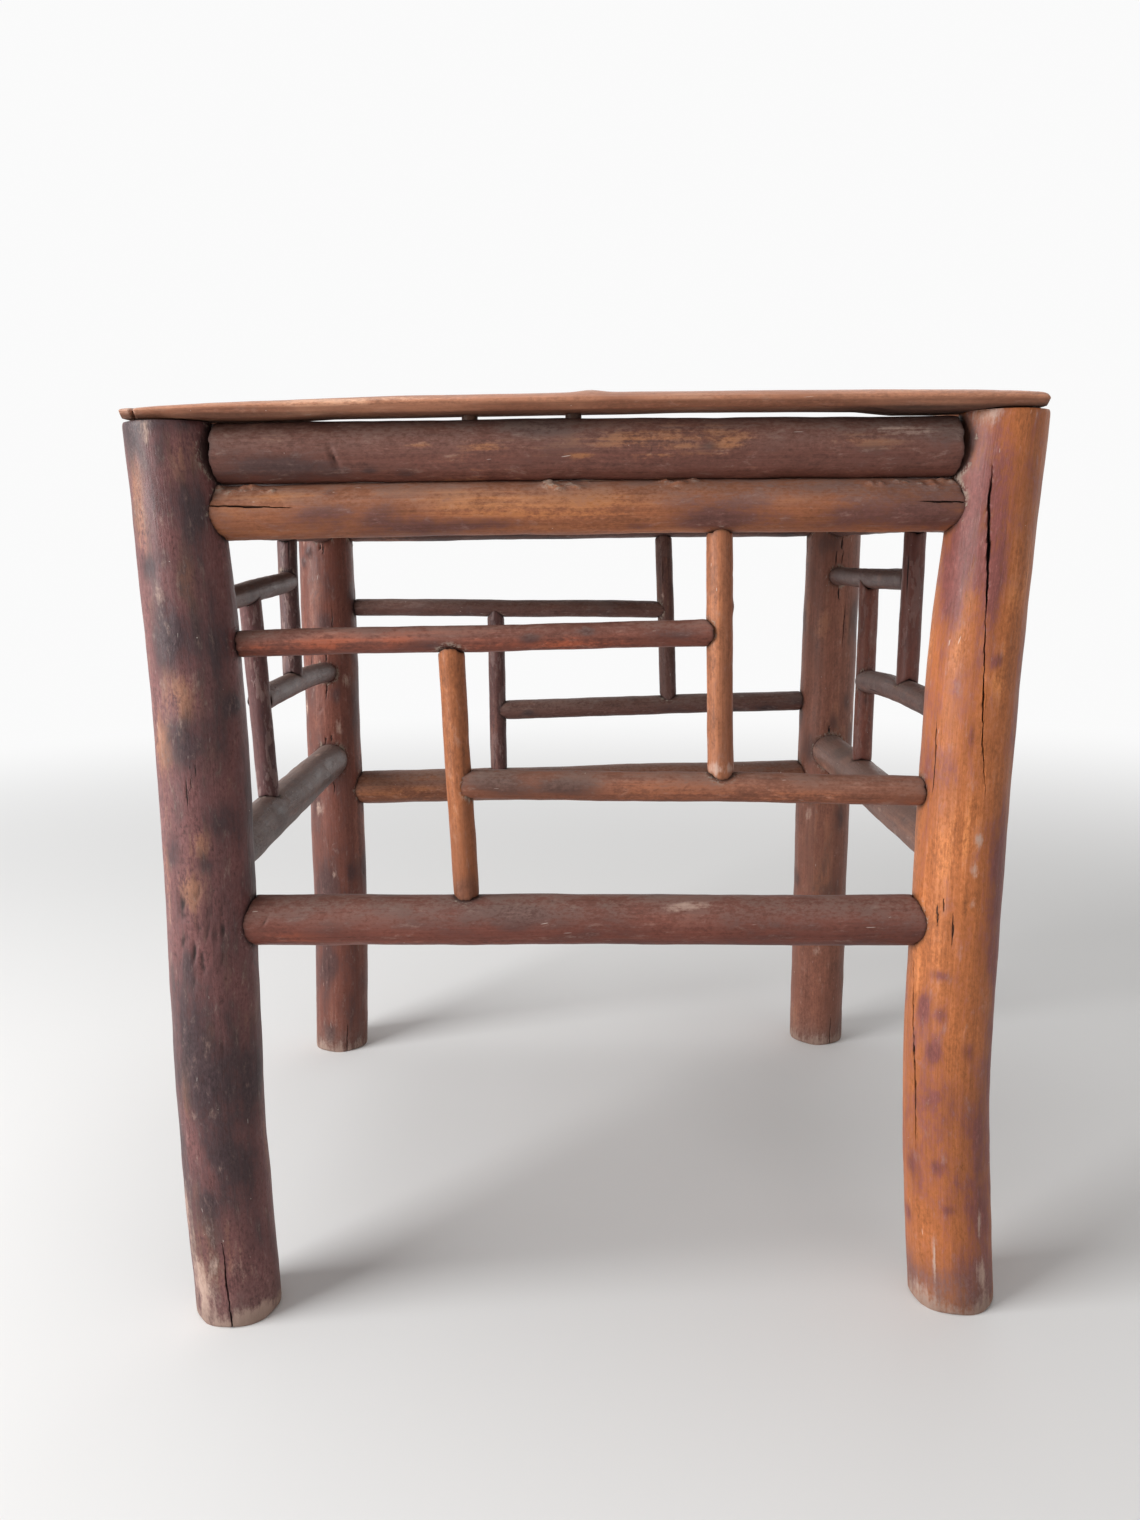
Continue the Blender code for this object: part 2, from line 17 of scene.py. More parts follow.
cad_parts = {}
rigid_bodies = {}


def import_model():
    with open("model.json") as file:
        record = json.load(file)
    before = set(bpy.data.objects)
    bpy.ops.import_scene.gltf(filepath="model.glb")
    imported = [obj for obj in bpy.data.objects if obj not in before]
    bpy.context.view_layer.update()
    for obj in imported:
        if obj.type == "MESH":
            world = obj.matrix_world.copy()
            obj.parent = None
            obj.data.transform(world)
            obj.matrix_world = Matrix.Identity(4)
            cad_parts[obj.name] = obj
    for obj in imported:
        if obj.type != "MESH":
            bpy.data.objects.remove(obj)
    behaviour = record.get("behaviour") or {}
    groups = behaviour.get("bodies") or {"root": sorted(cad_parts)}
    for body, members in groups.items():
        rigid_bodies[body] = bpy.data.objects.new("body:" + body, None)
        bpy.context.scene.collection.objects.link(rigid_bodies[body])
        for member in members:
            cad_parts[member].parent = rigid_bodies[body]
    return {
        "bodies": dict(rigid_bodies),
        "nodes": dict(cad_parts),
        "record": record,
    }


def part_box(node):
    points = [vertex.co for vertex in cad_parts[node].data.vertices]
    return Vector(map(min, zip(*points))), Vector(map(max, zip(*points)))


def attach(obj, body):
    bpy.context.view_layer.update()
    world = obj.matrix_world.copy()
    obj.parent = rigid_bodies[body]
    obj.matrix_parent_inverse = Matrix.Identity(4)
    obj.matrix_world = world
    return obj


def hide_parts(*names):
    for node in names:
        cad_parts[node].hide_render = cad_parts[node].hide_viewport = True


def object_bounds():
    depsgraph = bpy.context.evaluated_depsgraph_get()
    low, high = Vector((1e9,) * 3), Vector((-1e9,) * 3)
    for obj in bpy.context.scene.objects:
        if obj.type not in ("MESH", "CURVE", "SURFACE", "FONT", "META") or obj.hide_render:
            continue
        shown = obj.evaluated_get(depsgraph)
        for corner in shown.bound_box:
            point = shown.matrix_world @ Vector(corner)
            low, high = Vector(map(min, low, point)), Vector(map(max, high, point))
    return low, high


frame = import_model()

scene = bpy.context.scene
scene.view_settings.view_transform = "Standard"
kept = set(frame["nodes"].values()) | set(frame["bodies"].values())
for item in list(bpy.data.objects):
    if item not in kept:
        bpy.data.objects.remove(item)
cad_box = [list(corner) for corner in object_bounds()]
slots = {part["node"]: part["material_slot"] for part in frame["record"]["subparts"]}
print("CAD box", [[round(v, 4) for v in corner] for corner in cad_box], "nodes", len(slots))

# %% [markdown]
# ## Camera
# The photograph was taken from a little below the table top, looking slightly down. Camera place,
# turn and focal length were worked out from the legs and rails. A camera can be aimed with a
# constraint, but a matrix made from its three directions also holds the small roll.

# %% Place the camera
IMAGE_HEIGHT = 1520
FOCAL_PIXELS = 1188.72
SENSOR = 36.0
EYE = Vector((-0.01572, -0.78095, 0.41608))
PITCH, ROLL, YAW = (math.radians(a) for a in (10.279, -0.678, 0.476))

ahead = Vector((math.sin(YAW) * math.cos(PITCH), math.cos(YAW) * math.cos(PITCH), -math.sin(PITCH)))
level = Vector((math.cos(YAW), -math.sin(YAW), 0.0))
above = level.cross(ahead)
right = level * math.cos(ROLL) + above * math.sin(ROLL)
up = above * math.cos(ROLL) - level * math.sin(ROLL)
lens = bpy.data.cameras.new("camera")
lens.sensor_fit = "VERTICAL"
lens.sensor_height = SENSOR
lens.lens = FOCAL_PIXELS / IMAGE_HEIGHT * SENSOR
camera = bpy.data.objects.new("camera", lens)
camera.matrix_world = Matrix.Translation(EYE) @ Matrix((right, up, -ahead)).transposed().to_4x4()
scene.collection.objects.link(camera)
scene.camera = camera
print("lens", round(lens.lens, 2), "mm")

# %% [markdown]
# ## Node maths in plain Python
# Materials and Geometry Nodes are both node trees. Wiring them by hand is long, so one small class
# wraps a socket: adding or multiplying two of them adds the Math node and its links. A second class
# adds any other node: first its settings, then its sockets.

# %% Wrap a socket
class Wire:
    """A socket of a node tree that takes part in Python expressions."""

    def __init__(self, bench, socket):
        self.bench = bench
        self.socket = socket

    def maths(self, operation, *terms):
        return self.bench.add("ShaderNodeMath", {"operation": operation}, dict(enumerate(terms)))

    def __add__(self, other):
        return self.maths("ADD", self, other)

    def __sub__(self, other):
        return self.maths("SUBTRACT", self, other)

    def __rsub__(self, other):
        return self.maths("SUBTRACT", other, self)

    def __mul__(self, other):
        return self.maths("MULTIPLY", self, other)

    def __truediv__(self, other):
        return self.maths("DIVIDE", self, other)

    def __rtruediv__(self, other):
        return self.maths("DIVIDE", other, self)

    __radd__ = __add__
    __rmul__ = __mul__

    def most(self, other):
        return self.maths("MAXIMUM", self, other)

    def sway(self, amount):
        """A noise of 0 to 1 that swings round 0 by so much."""
        return (self - 0.5) * amount

    def rise(self, low, high):
        """0 below low, 1 above high, with a smooth step between."""
        sockets = {"Value": self, "From Min": low, "From Max": high}
        return self.bench.add("ShaderNodeMapRange", {"interpolation_type": "SMOOTHSTEP"}, sockets)

    def out(self, name):
        return Wire(self.bench, self.bench.find(self.socket.node.outputs, name))

# %% Wrap a node tree
class Bench:
    """A node tree and one way of adding nodes to it."""

    def __init__(self, tree):
        self.tree = tree
        self.tree.nodes.clear()

    def find(self, sockets, key):
        if isinstance(key, int):
            return sockets[key]
        for socket in sockets:
            if socket.identifier == key:
                return socket
        return sockets[key]

    def add(self, kind, settings, sockets):
        node = self.tree.nodes.new(kind)
        for key, value in settings.items():
            setattr(node, key, value)
        for key, value in sockets.items():
            socket = self.find(node.inputs, key)
            if isinstance(value, Wire):
                self.tree.links.new(value.socket, socket)
            else:
                socket.default_value = value
        return Wire(self, node.outputs[0]) if len(node.outputs) else None

    def vector(self, operation, *terms, **sockets):
        """A Vector Math node: vectors in their order, other sockets by name."""
        terms = dict(enumerate(terms))
        return self.add("ShaderNodeVectorMath", {"operation": operation}, {**terms, **sockets})

    def noise(self, vector, scale, detail=2.0, rough=0.5):
        """Smooth noise with its own scale along each axis."""
        spread = self.vector("MULTIPLY", vector, scale)
        sockets = {"Vector": spread, "Scale": 1.0, "Detail": detail, "Roughness": rough}
        return self.add("ShaderNodeTexNoise", {}, sockets)

    def blend(self, first, second, share):
        sockets = {"Factor_Float": share, "A_Color": first, "B_Color": second}
        return self.add("ShaderNodeMix", {"data_type": "RGBA"}, sockets).out("Result_Color")


def paint(red, green, blue):
    """A colour as it reads on a screen, 0 to 255, as the linear colour that nodes use."""
    shares = np.array((red, green, blue)) / 255
    linear = np.where(shares <= 0.04045, shares / 12.92, ((shares + 0.055) / 1.055) ** 2.4)
    return (*linear.tolist(), 1.0)


print("a screen's middle grey is", round(paint(128, 128, 128)[0], 3), "in linear light")

# %% [markdown]
# ## Studio
# A pale floor that fades to plain white far away hides the horizon. Large area lamps give soft
# shadows: the stronger one stands at the front left, where the photograph's light came from. The
# world is white wherever it is looked at, straight or by reflection, and lights the wood more weakly,
# as a room would.

# %% Make the floor and the world
FLOOR_RADIUS, FLOOR_CORNERS = 6.0, 64
FADE_FROM, FADE_TO = 0.55, 2.2
WHITE, PALE_GREY = (1.0, 1.0, 1.0, 1.0), (0.80, 0.79, 0.78, 1.0)
BACKDROP, SOFT_LIGHT = 0.96, 0.31


def looked_at(bench):
    """1 for rays from the camera, a reflection or glass, 0 for rays that only carry light."""
    path = bench.add("ShaderNodeLightPath", {}, {})
    return path.most(path.out("Is Glossy Ray")).most(path.out("Is Transmission Ray"))


floor_mesh = bpy.data.meshes.new("pale_floor")
turns = np.linspace(0, 2 * math.pi, FLOOR_CORNERS, endpoint=False)
rim = [(FLOOR_RADIUS * math.cos(a), FLOOR_RADIUS * math.sin(a), 0.0) for a in turns]
floor_mesh.from_pydata(rim, [], [list(range(FLOOR_CORNERS))])
floor = bpy.data.objects.new("pale_floor", floor_mesh)
scene.collection.objects.link(floor)

pale = bpy.data.materials.new("pale_floor")
pale.use_nodes = True
bench = Bench(pale.node_tree)
spot = bench.add("ShaderNodeTexCoord", {}, {}).out("Object")
fade = bench.vector("LENGTH", spot).out("Value").rise(FADE_FROM, FADE_TO)
matt = bench.add("ShaderNodeBsdfDiffuse", {}, {"Color": PALE_GREY})
glow = bench.add("ShaderNodeEmission", {}, {"Color": WHITE, "Strength": BACKDROP})
mixed = bench.add("ShaderNodeMixShader", {}, {0: looked_at(bench) * fade, 1: matt, 2: glow})
bench.add("ShaderNodeOutputMaterial", {}, {"Surface": mixed})
floor_mesh.materials.append(pale)

world = bpy.data.worlds.new("studio")
world.use_nodes = True
scene.world = world
bench = Bench(world.node_tree)
strength = looked_at(bench) * (BACKDROP - SOFT_LIGHT) + SOFT_LIGHT
sky = bench.add("ShaderNodeBackground", {}, {"Color": WHITE, "Strength": strength})
bench.add("ShaderNodeOutputWorld", {}, {"Surface": sky})
print("a floor of", 2 * FLOOR_RADIUS, "m and a world of strength", SOFT_LIGHT)

# %% Hang the lamps
AIM = Vector((0.0, 0.0, 0.24))
LAMPS = (
    # name, place, size, watts, colour
    ("front_left", (-1.75, -0.90, 0.90), 1.2, 54.0, (0.97, 0.99, 1.0)),
    ("front_right", (1.50, -2.00, 1.10), 1.8, 4.0, (1.0, 0.98, 0.95)),
    ("overhead", (-0.2, 0.1, 2.3), 1.6, 14.0, (1.0, 1.0, 1.0)),
    ("far_side", (0.7, 2.3, 1.0), 1.8, 7.0, (1.0, 1.0, 1.0)),
)


def lamp(name, place, size, watts, colour):
    light = bpy.data.lights.new(name, "AREA")
    light.size = size
    light.energy = watts
    light.color = colour
    item = bpy.data.objects.new(name, light)
    item.location = place
    item.rotation_euler = (AIM - Vector(place)).to_track_quat("-Z", "Y").to_euler()
    scene.collection.objects.link(item)


for row in LAMPS:
    lamp(*row)
print(len(LAMPS), "lamps")

# %% [markdown]
# ## Measuring the poles
# Each straight pole of the CAD ends in a round tenon. The middle of the vertices at each tip gives
# a point of the axis, and the vertex furthest from that axis gives the radius. A leg is bent, so a
# circle is fitted to each of its rings.

# %% Read the axes from the CAD nodes
TIP = 0.0012
LEG_RINGS, ON_RING, OUTER_SHARE = 8, 1e-4, 0.8
SIDES = ("front", "back", "left", "right")
CORNERS = ("front_left", "front_right", "back_left", "back_right")
STICKS = ("high_stick", "low_stick", "standing_post", "hanging_post")
STRAIGHT = ("upper_rail", "lower_rail", "stretcher") + STICKS


def places_of(mesh):
    """A mesh's vertices as rows of x, y and z."""
    flat = np.empty(len(mesh.vertices) * 3)
    mesh.vertices.foreach_get("co", flat)
    return flat.reshape(-1, 3)


def corners(node):
    """A CAD node's different vertices."""
    return np.unique(places_of(frame["nodes"][node].data).round(6), axis=0)


def straight_axis(node):
    found = corners(node)
    run = found[:, np.ptp(found, axis=0).argmax()]
    ends = np.array([found[run < run.min() + TIP].mean(0), found[run > run.max() - TIP].mean(0)])
    along = (ends[1] - ends[0]) / np.linalg.norm(ends[1] - ends[0])
    away = found - ends[0]
    away = away - np.outer(away @ along, along)
    return ends, np.full(2, np.linalg.norm(away, axis=1).max())


def bent_axis(node):
    found = corners(node)
    middles, radii = [], []
    for height in found[:, 2].max() * np.arange(LEG_RINGS + 1) / LEG_RINGS:
        ring = found[abs(found[:, 2] - height) < ON_RING][:, :2]
        away = np.linalg.norm(ring - ring.mean(0), axis=1)
        ring = ring[away > OUTER_SHARE * away.max()]
        terms = np.c_[2 * ring, np.ones(len(ring))]
        x, y, rest = np.linalg.lstsq(terms, (ring**2).sum(1), rcond=None)[0]
        middles.append((x, y, height))
        radii.append(math.sqrt(rest + x * x + y * y))
    radii[0] = radii[1]
    return np.array(middles), np.array(radii)


axes = {"leg_" + corner: bent_axis("leg_" + corner) for corner in CORNERS}
axes.update({kind + "_" + side: straight_axis(kind + "_" + side) for kind in STRAIGHT for side in SIDES})
for node in ("leg_front_left", "upper_rail_front", "high_stick_front"):
    print(node, axes[node][0].round(4).tolist()[::4], "radius", axes[node][1].round(4).tolist()[0])

# %% [markdown]
# ## Geometry Nodes: a pole as it grew
# All poles follow one rule: a round section runs along an axis, swells and shrinks a little, and
# carries faint ridges along its length. One tree makes them all. It could be sculpted by hand, but a
# tree with named inputs gives every pole of the table, each with its own seed.

# %% Build the pole tree
POLE_INPUTS = (
    ("Sides", "Int"), ("Stations", "Int"), ("Bow", "Float"), ("Lump Height", "Float"),
    ("Lump Length", "Float"), ("Ridge Height", "Float"), ("Ridge Scale", "Vector"), ("Seed", "Vector"),
    ("Material", "Material"),
)
BOW_SCALE = (7.0, 7.0, 7.0)
HALF = (0.5, 0.5, 0.5)


def new_tree(name, inputs):
    tree = bpy.data.node_groups.new(name, "GeometryNodeTree")
    for socket, kind in (("Geometry", "Geometry"),) + inputs:
        tree.interface.new_socket(socket, in_out="INPUT", socket_type="NodeSocket" + kind)
    tree.interface.new_socket("Geometry", in_out="OUTPUT", socket_type="NodeSocketGeometry")
    return tree


def close_tree(bench, geometry, material):
    """Every tree ends in plain geometry with its material on it."""
    real = bench.add("GeometryNodeRealizeInstances", {}, {"Geometry": geometry})
    done = bench.add("GeometryNodeSetMaterial", {}, {"Geometry": real, "Material": material})
    bench.add("NodeGroupOutput", {}, {"Geometry": done})


def build_pole_tree():
    tree = new_tree("grown_pole", POLE_INPUTS)
    bench = Bench(tree)
    given = bench.add("NodeGroupInput", {}, {})
    place = bench.add("GeometryNodeInputPosition", {}, {})
    seeded = bench.vector("ADD", place, given.out("Seed"))
    sockets = {"Curve": given, "Count": given.out("Stations")}
    line = bench.add("GeometryNodeResampleCurve", {"mode": "COUNT"}, sockets)
    drift = bench.vector("SUBTRACT", bench.noise(seeded, BOW_SCALE, 1.0).out("Color"), HALF)
    drift = bench.vector("SCALE", drift, Scale=given.out("Bow"))
    bowed = bench.add("GeometryNodeSetPosition", {}, {"Geometry": line, "Offset": drift})
    sockets = {"Resolution": given.out("Sides"), "Radius": 1.0}
    ring = bench.add("GeometryNodeCurvePrimitiveCircle", {}, sockets)
    girth = bench.add("GeometryNodeInputRadius", {}, {})
    sockets = {"Curve": bowed, "Profile Curve": ring, "Scale": girth}
    tube = bench.add("GeometryNodeCurveToMesh", {}, sockets)
    size = bench.vector("SCALE", seeded, Scale=1.0 / given.out("Lump Length"))
    lumps = bench.noise(size, (1.0, 1.0, 1.0)).sway(2.0) * given.out("Lump Height")
    ridges = bench.noise(seeded, given.out("Ridge Scale")).sway(2.0) * given.out("Ridge Height")
    normal = bench.add("GeometryNodeInputNormal", {}, {})
    push = bench.vector("SCALE", normal, Scale=lumps + ridges)
    shaped = bench.add("GeometryNodeSetPosition", {}, {"Geometry": tube, "Offset": push})
    close_tree(bench, shaped, given.out("Material"))
    return tree


pole_tree = build_pole_tree()
print("pole tree with", len(pole_tree.nodes), "nodes")

# %% Bake a tree into a plain mesh
def bake(item, tree, values):
    """Run a tree on an object and keep the result as a plain mesh."""
    scene.collection.objects.link(item)
    modifier = item.modifiers.new(tree.name, "NODES")
    modifier.node_group = tree
    for socket in tree.interface.items_tree:
        if socket.in_out == "INPUT" and socket.name in values:
            modifier[socket.identifier] = values[socket.name]
    graph = bpy.context.evaluated_depsgraph_get()
    mesh = bpy.data.meshes.new_from_object(item.evaluated_get(graph), depsgraph=graph)
    bpy.data.objects.remove(item)
    return mesh


def grow(name, points, radii, values):
    curve = bpy.data.curves.new(name, "CURVE")
    curve.dimensions = "3D"
    spline = curve.splines.new("POLY")
    spline.points.add(len(points) - 1)
    for knot, place, radius in zip(spline.points, points, radii):
        knot.co = (*place, 1.0)
        knot.radius = radius
    return bake(bpy.data.objects.new(name, curve), pole_tree, values)

# %% [markdown]
# ## One pole as a table of radii
# The baked tube is read back as a table: how far the surface lies from the axis at each step along
# the pole and each turn round it. With that table a pole can be asked for any point of its surface,
# so lines can be crowded at a crack and ends can be cut to fit what carries them.

# %% Gather the helpers of a pole
FRONT, RIGHT, UP = (0.0, -1.0, 0.0), (1.0, 0.0, 0.0), (0.0, 0.0, 1.0)


def unit(vector):
    return np.asarray(vector) / np.linalg.norm(vector)


def square_to(vector, along):
    vector = np.asarray(vector, float)
    return unit(vector - along * (vector @ along))


def turns_round(count):
    return np.linspace(-np.pi, np.pi, count, endpoint=False)


def smooth_through(old, values, new):
    """A curve through evenly spaced values, without overshoot at its ends."""
    if len(values) == 2:
        return np.interp(new, old, values)
    slope = np.gradient(values, old)
    i = np.clip(np.searchsorted(old, new, side="right") - 1, 0, len(old) - 2)
    h = old[i + 1] - old[i]
    t = (new - old[i]) / h
    rise = values[i + 1] - values[i]
    bend = t * t * (3 - 2 * t) * rise
    return values[i] + bend + (t**3 - 2 * t**2 + t) * slope[i] * h + (t**3 - t**2) * slope[i + 1] * h


def ring_faces(rings, sides):
    """Quads between neighbouring rings of vertices."""
    i, j = np.meshgrid(np.arange(rings - 1), np.arange(sides), indexing="ij")
    near, far, k = i * sides, (i + 1) * sides, (j + 1) % sides
    return np.stack([near + j, near + k, far + k, far + j], -1).reshape(-1, 4)

# %% Read a baked tube into a table
GROWTH = {
    # sides, stations, bow, lump height, lump length, ridge height
    "leg": (180, 340, 0.0000, 0.00100, 0.046, 0.00024),
    "upper_rail": (84, 190, 0.0030, 0.00075, 0.034, 0.00020),
    "lower_rail": (84, 190, 0.0030, 0.00075, 0.030, 0.00020),
    "stretcher": (84, 190, 0.0030, 0.00070, 0.032, 0.00020),
    "high_stick": (44, 150, 0.0030, 0.00045, 0.018, 0.00016),
    "low_stick": (44, 150, 0.0030, 0.00048, 0.020, 0.00016),
    "standing_post": (44, 110, 0.0024, 0.00042, 0.018, 0.00016),
    "hanging_post": (44, 110, 0.0024, 0.00042, 0.018, 0.00016),
    "brace": (48, 130, 0.0020, 0.00040, 0.025, 0.00020),
    "peg": (28, 16, 0.0, 0.00012, 0.010, 0.00010),
    "strip": (120, 300, 0.0, 0.00045, 0.030, 0.00022),
}
RIDGE_ACROSS, RIDGE_ALONG, STEEP = 240.0, 5.0, 0.7
SLIM = 0.996
FINER_FRONT = 1.45
AXIS_POINTS = 33
SEED_STEP, SEED_ROUND = np.array((1.37, 2.11, 0.83)), np.array((7.0, 5.0, 9.0))
RAY_STATIONS, RAY_SIDES = 160, 64


class Pole:
    """The surface of a grown pole, asked for by distance along it and turn round it."""

    count = 0

    def __init__(self, node, kind, points, radii, facing, turning, bend=(0.0, 0.0)):
        Pole.count += 1
        self.node, self.kind = node, kind
        self.features, self.patches = [], []
        self.sides, self.stations, bow, lump, lump_length, ridge = GROWTH[kind]
        if kind in STRAIGHT and node.endswith("front"):
            self.sides, self.stations = int(self.sides * FINER_FRONT), int(self.stations * FINER_FRONT)
        self.first = np.asarray(points[0], float)
        self.along = np.array(UP) if kind == "leg" else unit(points[-1] - points[0])
        self.facing, self.turning = square_to(facing, self.along), square_to(turning, self.along)
        self.length = float((points[-1] - points[0]) @ self.along)
        self.radius = float(max(radii))
        self.seed = Pole.count * SEED_STEP % SEED_ROUND
        scale = np.where(abs(self.along) > STEEP, RIDGE_ALONG, RIDGE_ACROSS)
        values = {
            "Sides": self.sides, "Stations": self.stations, "Bow": bow, "Lump Height": lump,
            "Lump Length": lump_length, "Ridge Height": ridge, "Ridge Scale": scale.tolist(),
            "Seed": self.seed.tolist(), "Material": pale,
        }
        mesh = grow(node, *self.axis(points, np.asarray(radii), bend), values)
        self.read(places_of(mesh).reshape(self.stations, self.sides, 3))
        bpy.data.meshes.remove(mesh)

    def axis(self, points, radii, bend):
        """Smooth points and radii along the pole, bowed towards its two directions."""
        share, old = np.linspace(0.0, 1.0, AXIS_POINTS), np.linspace(0.0, 1.0, len(points))
        smooth = np.stack([smooth_through(old, points[:, k], share) for k in range(3)], 1)
        arch = np.sin(np.pi * share)[:, None]
        smooth = smooth + arch * (bend[0] * self.facing + bend[1] * self.turning)
        return smooth, smooth_through(old, radii, share) * SLIM

    def read(self, rings):
        self.middles = rings.mean(1)
        self.steps = (self.middles - self.first) @ self.along
        away = rings - self.middles[:, None]
        x, y = away @ self.facing, away @ self.turning
        turns = np.arctan2(y, x)
        self.lines = turns[self.stations // 2]
        even, pairs = turns_round(self.sides), zip(turns, np.hypot(x, y))
        self.table = np.array([np.interp(even, t, r, period=2 * np.pi) for t, r in pairs])

    def middle(self, s):
        return np.stack([np.interp(s, self.steps, self.middles[:, k]) for k in range(3)], -1)

    def girth(self, s, turn):
        row = np.interp(s, self.steps, np.arange(len(self.steps)))
        column = (turn + np.pi) / (2 * np.pi) * self.sides
        i = np.clip(row.astype(int), 0, len(self.steps) - 2)
        j = np.floor(column).astype(int)
        u, v = row - i, column - j
        j, k = j % self.sides, (j + 1) % self.sides
        t = self.table
        return (t[i, j] * (1 - v) + t[i, k] * v) * (1 - u) + (t[i + 1, j] * (1 - v) + t[i + 1, k] * v) * u

    def place(self, s, turn, radius):
        out = np.cos(turn)[..., None] * self.facing + np.sin(turn)[..., None] * self.turning
        return self.middle(s) + radius[..., None] * out

    def surface_tree(self):
        """A simple mesh of the whole surface that rays can be cast at."""
        steps = np.linspace(self.steps[0], self.steps[-1], RAY_STATIONS)
        s, turn = np.meshgrid(steps, turns_round(RAY_SIDES), indexing="ij")
        places = self.place(s, turn, self.girth(s, turn)).reshape(-1, 3)
        return BVHTree.FromPolygons(places.tolist(), ring_faces(RAY_STATIONS, RAY_SIDES).tolist())

# %% [markdown]
# ## Cracks, knots and dents
# Drying cracks run along the grain, so each is a line of places along the pole and turns round it.
# They could be painted, but a real groove also darkens and catches light from other sides; each groove
# and gouge is still painted dark inside as shade. The pole's lengthwise lines are crowded towards a
# crack, so that its lips stay crisp without a denser mesh everywhere. A seat is the place where
# another pole goes in, with its dirt, painted shade and pale crumbs.

# %% Describe a crack
MM = 0.001
CROWD_REACH, CROWD = 0.0034, 0.88
SHAKE, SHAKE_WAVE, SHAKE_PHASE = 0.006, 410.0, 90.0
TREMBLE, TREMBLE_WAVE = 0.004, 930.0
TAPER, TAPER_POWER = 2.4, 0.7
LIP, LIP_REACH, GROOVE_POWER, NARROWEST = 0.00012, 0.0006, 0.6, 1e-4


def wrap(angle):
    return (angle + np.pi) % (2 * np.pi) - np.pi


def bell(away, reach):
    """1 in the middle, fading smoothly to 0 beyond its reach."""
    return np.exp(-((away / reach) ** 2))


class Crack:
    """A groove along a pole: (place, turn in degrees) points, width, depth and which ends stay open."""

    def __init__(self, line, width, depth, open_start=False, open_end=False):
        self.s, self.turn = np.array(line, float).T
        self.turn = np.radians(self.turn)
        self.width, self.depth = width, depth
        self.open_start, self.open_end = open_start, open_end

    def turn_at(self, s):
        shake = SHAKE * np.sin(s * SHAKE_WAVE + self.s[0] * SHAKE_PHASE) + TREMBLE * np.sin(s * TREMBLE_WAVE)
        return np.interp(s, self.s, self.turn) + shake

    def spread(self, s):
        """1 along the crack, tapering to 0 at its closed ends."""
        share = (s - self.s[0]) / (self.s[-1] - self.s[0])
        inside = (share >= (-1 if self.open_start else 0)) & (share <= (2 if self.open_end else 1))
        share = np.clip(share, 0.0, 1.0)
        head = 1.0 if self.open_start else np.clip(share * TAPER, 0, 1) ** TAPER_POWER
        tail = 1.0 if self.open_end else np.clip((1 - share) * TAPER, 0, 1) ** TAPER_POWER
        return inside * head * tail * (0.85 + 0.15 * np.sin(s * 260.0 + 1.3))

    def reach(self, s, turn, radius):
        """How far a point lies from the crack's line, the crack's half width there, and its spread."""
        spread = self.spread(s)
        away = abs(wrap(turn - self.turn_at(s))) * radius
        return away, self.width * 0.5 * np.maximum(spread, NARROWEST), spread

    def crowd(self, s, turn, radius):
        away = wrap(turn - self.turn_at(s)) * radius
        near = np.clip(self.spread(s) * 3.0, 0, 1)
        return turn - CROWD * near * away * bell(away, CROWD_REACH) / radius

    def lift(self, s, turn, radius):
        away, wide, spread = self.reach(s, turn, radius)
        groove = np.clip(1.0 - away / wide, 0, 1) ** GROOVE_POWER
        return LIP * spread * bell(away - wide, LIP_REACH) - self.depth * spread * groove

    def marks(self, s, turn, radius):
        away, wide, spread = self.reach(s, turn, radius)
        # The crack mark paints shade dark inside the groove.
        return {"crack": np.clip(1.5 - away / wide, 0, 1) * np.clip(spread * 2, 0, 1)}

# %% Describe knots, dents, coloured areas and seats
SEAT_DIRT_AND_SHADE, SEAT_CRUMBS, SEAT_DARK = 0.0045, 0.0014, 0.75


class Bump:
    """A knot, when its height is positive, or a dent: a round or long mark on the surface."""

    def __init__(self, s, turn, length, breadth, height, mark, strength, slant=0.0):
        self.s, self.turn, self.length, self.breadth = s, math.radians(turn), length, breadth
        self.height, self.mark, self.strength, self.slant = height, mark, strength, math.radians(slant)

    def shape(self, s, turn, radius):
        along, across = s - self.s, wrap(turn - self.turn) * radius
        c, d = math.cos(self.slant), math.sin(self.slant)
        along, across = along * c + across * d, across * c - along * d
        return bell(along, self.length) * bell(across, self.breadth)

    def crowd(self, s, turn, radius):
        return turn

    def lift(self, s, turn, radius):
        return self.height * self.shape(s, turn, radius)

    def marks(self, s, turn, radius):
        return {self.mark: self.strength * self.shape(s, turn, radius)}


class Seat:
    """The place on a carrier where another pole goes in: dirt and painted shade close to it and a ring of
    pale crumbs.
    """

    def __init__(self, s, turn, radius):
        self.s, self.turn, self.radius = s, math.radians(turn), radius

    def marks(self, s, turn, radius):
        away = np.hypot(s - self.s, wrap(turn - self.turn) * radius) - self.radius
        close = np.clip(1.0 - away / SEAT_DIRT_AND_SHADE, 0, 1)
        return {"grime_and_shade": SEAT_DARK * close**2, "crumb": bell(away - SEAT_CRUMBS, SEAT_CRUMBS)}


def patch(mark, s, turn, length, breadth, strength=1.0):
    """A soft coloured area: place, length and breadth in millimetres, turn in degrees."""
    return Bump(s * MM, turn, length * MM, breadth * MM, 0.0, mark, strength)


def dent(s, turn, length, breadth, depth, slant=0.0):
    """A gouge in millimetres, painted dark inside as shade."""
    return Bump(s * MM, turn, length * MM, breadth * MM, -depth * MM, "crack", 0.5, slant)


def knot(s, turn, length, breadth, height):
    """A raised knot in millimetres, dark round its top."""
    return Bump(s * MM, turn, length * MM, breadth * MM, height * MM, "stain", 1.0)


def crack(line, width, depth, open_start=False, open_end=False):
    """A crack in millimetres and degrees."""
    line = [(s * MM, turn) for s, turn in sorted(line)]
    return Crack(line, width * MM, depth * MM, open_start, open_end)

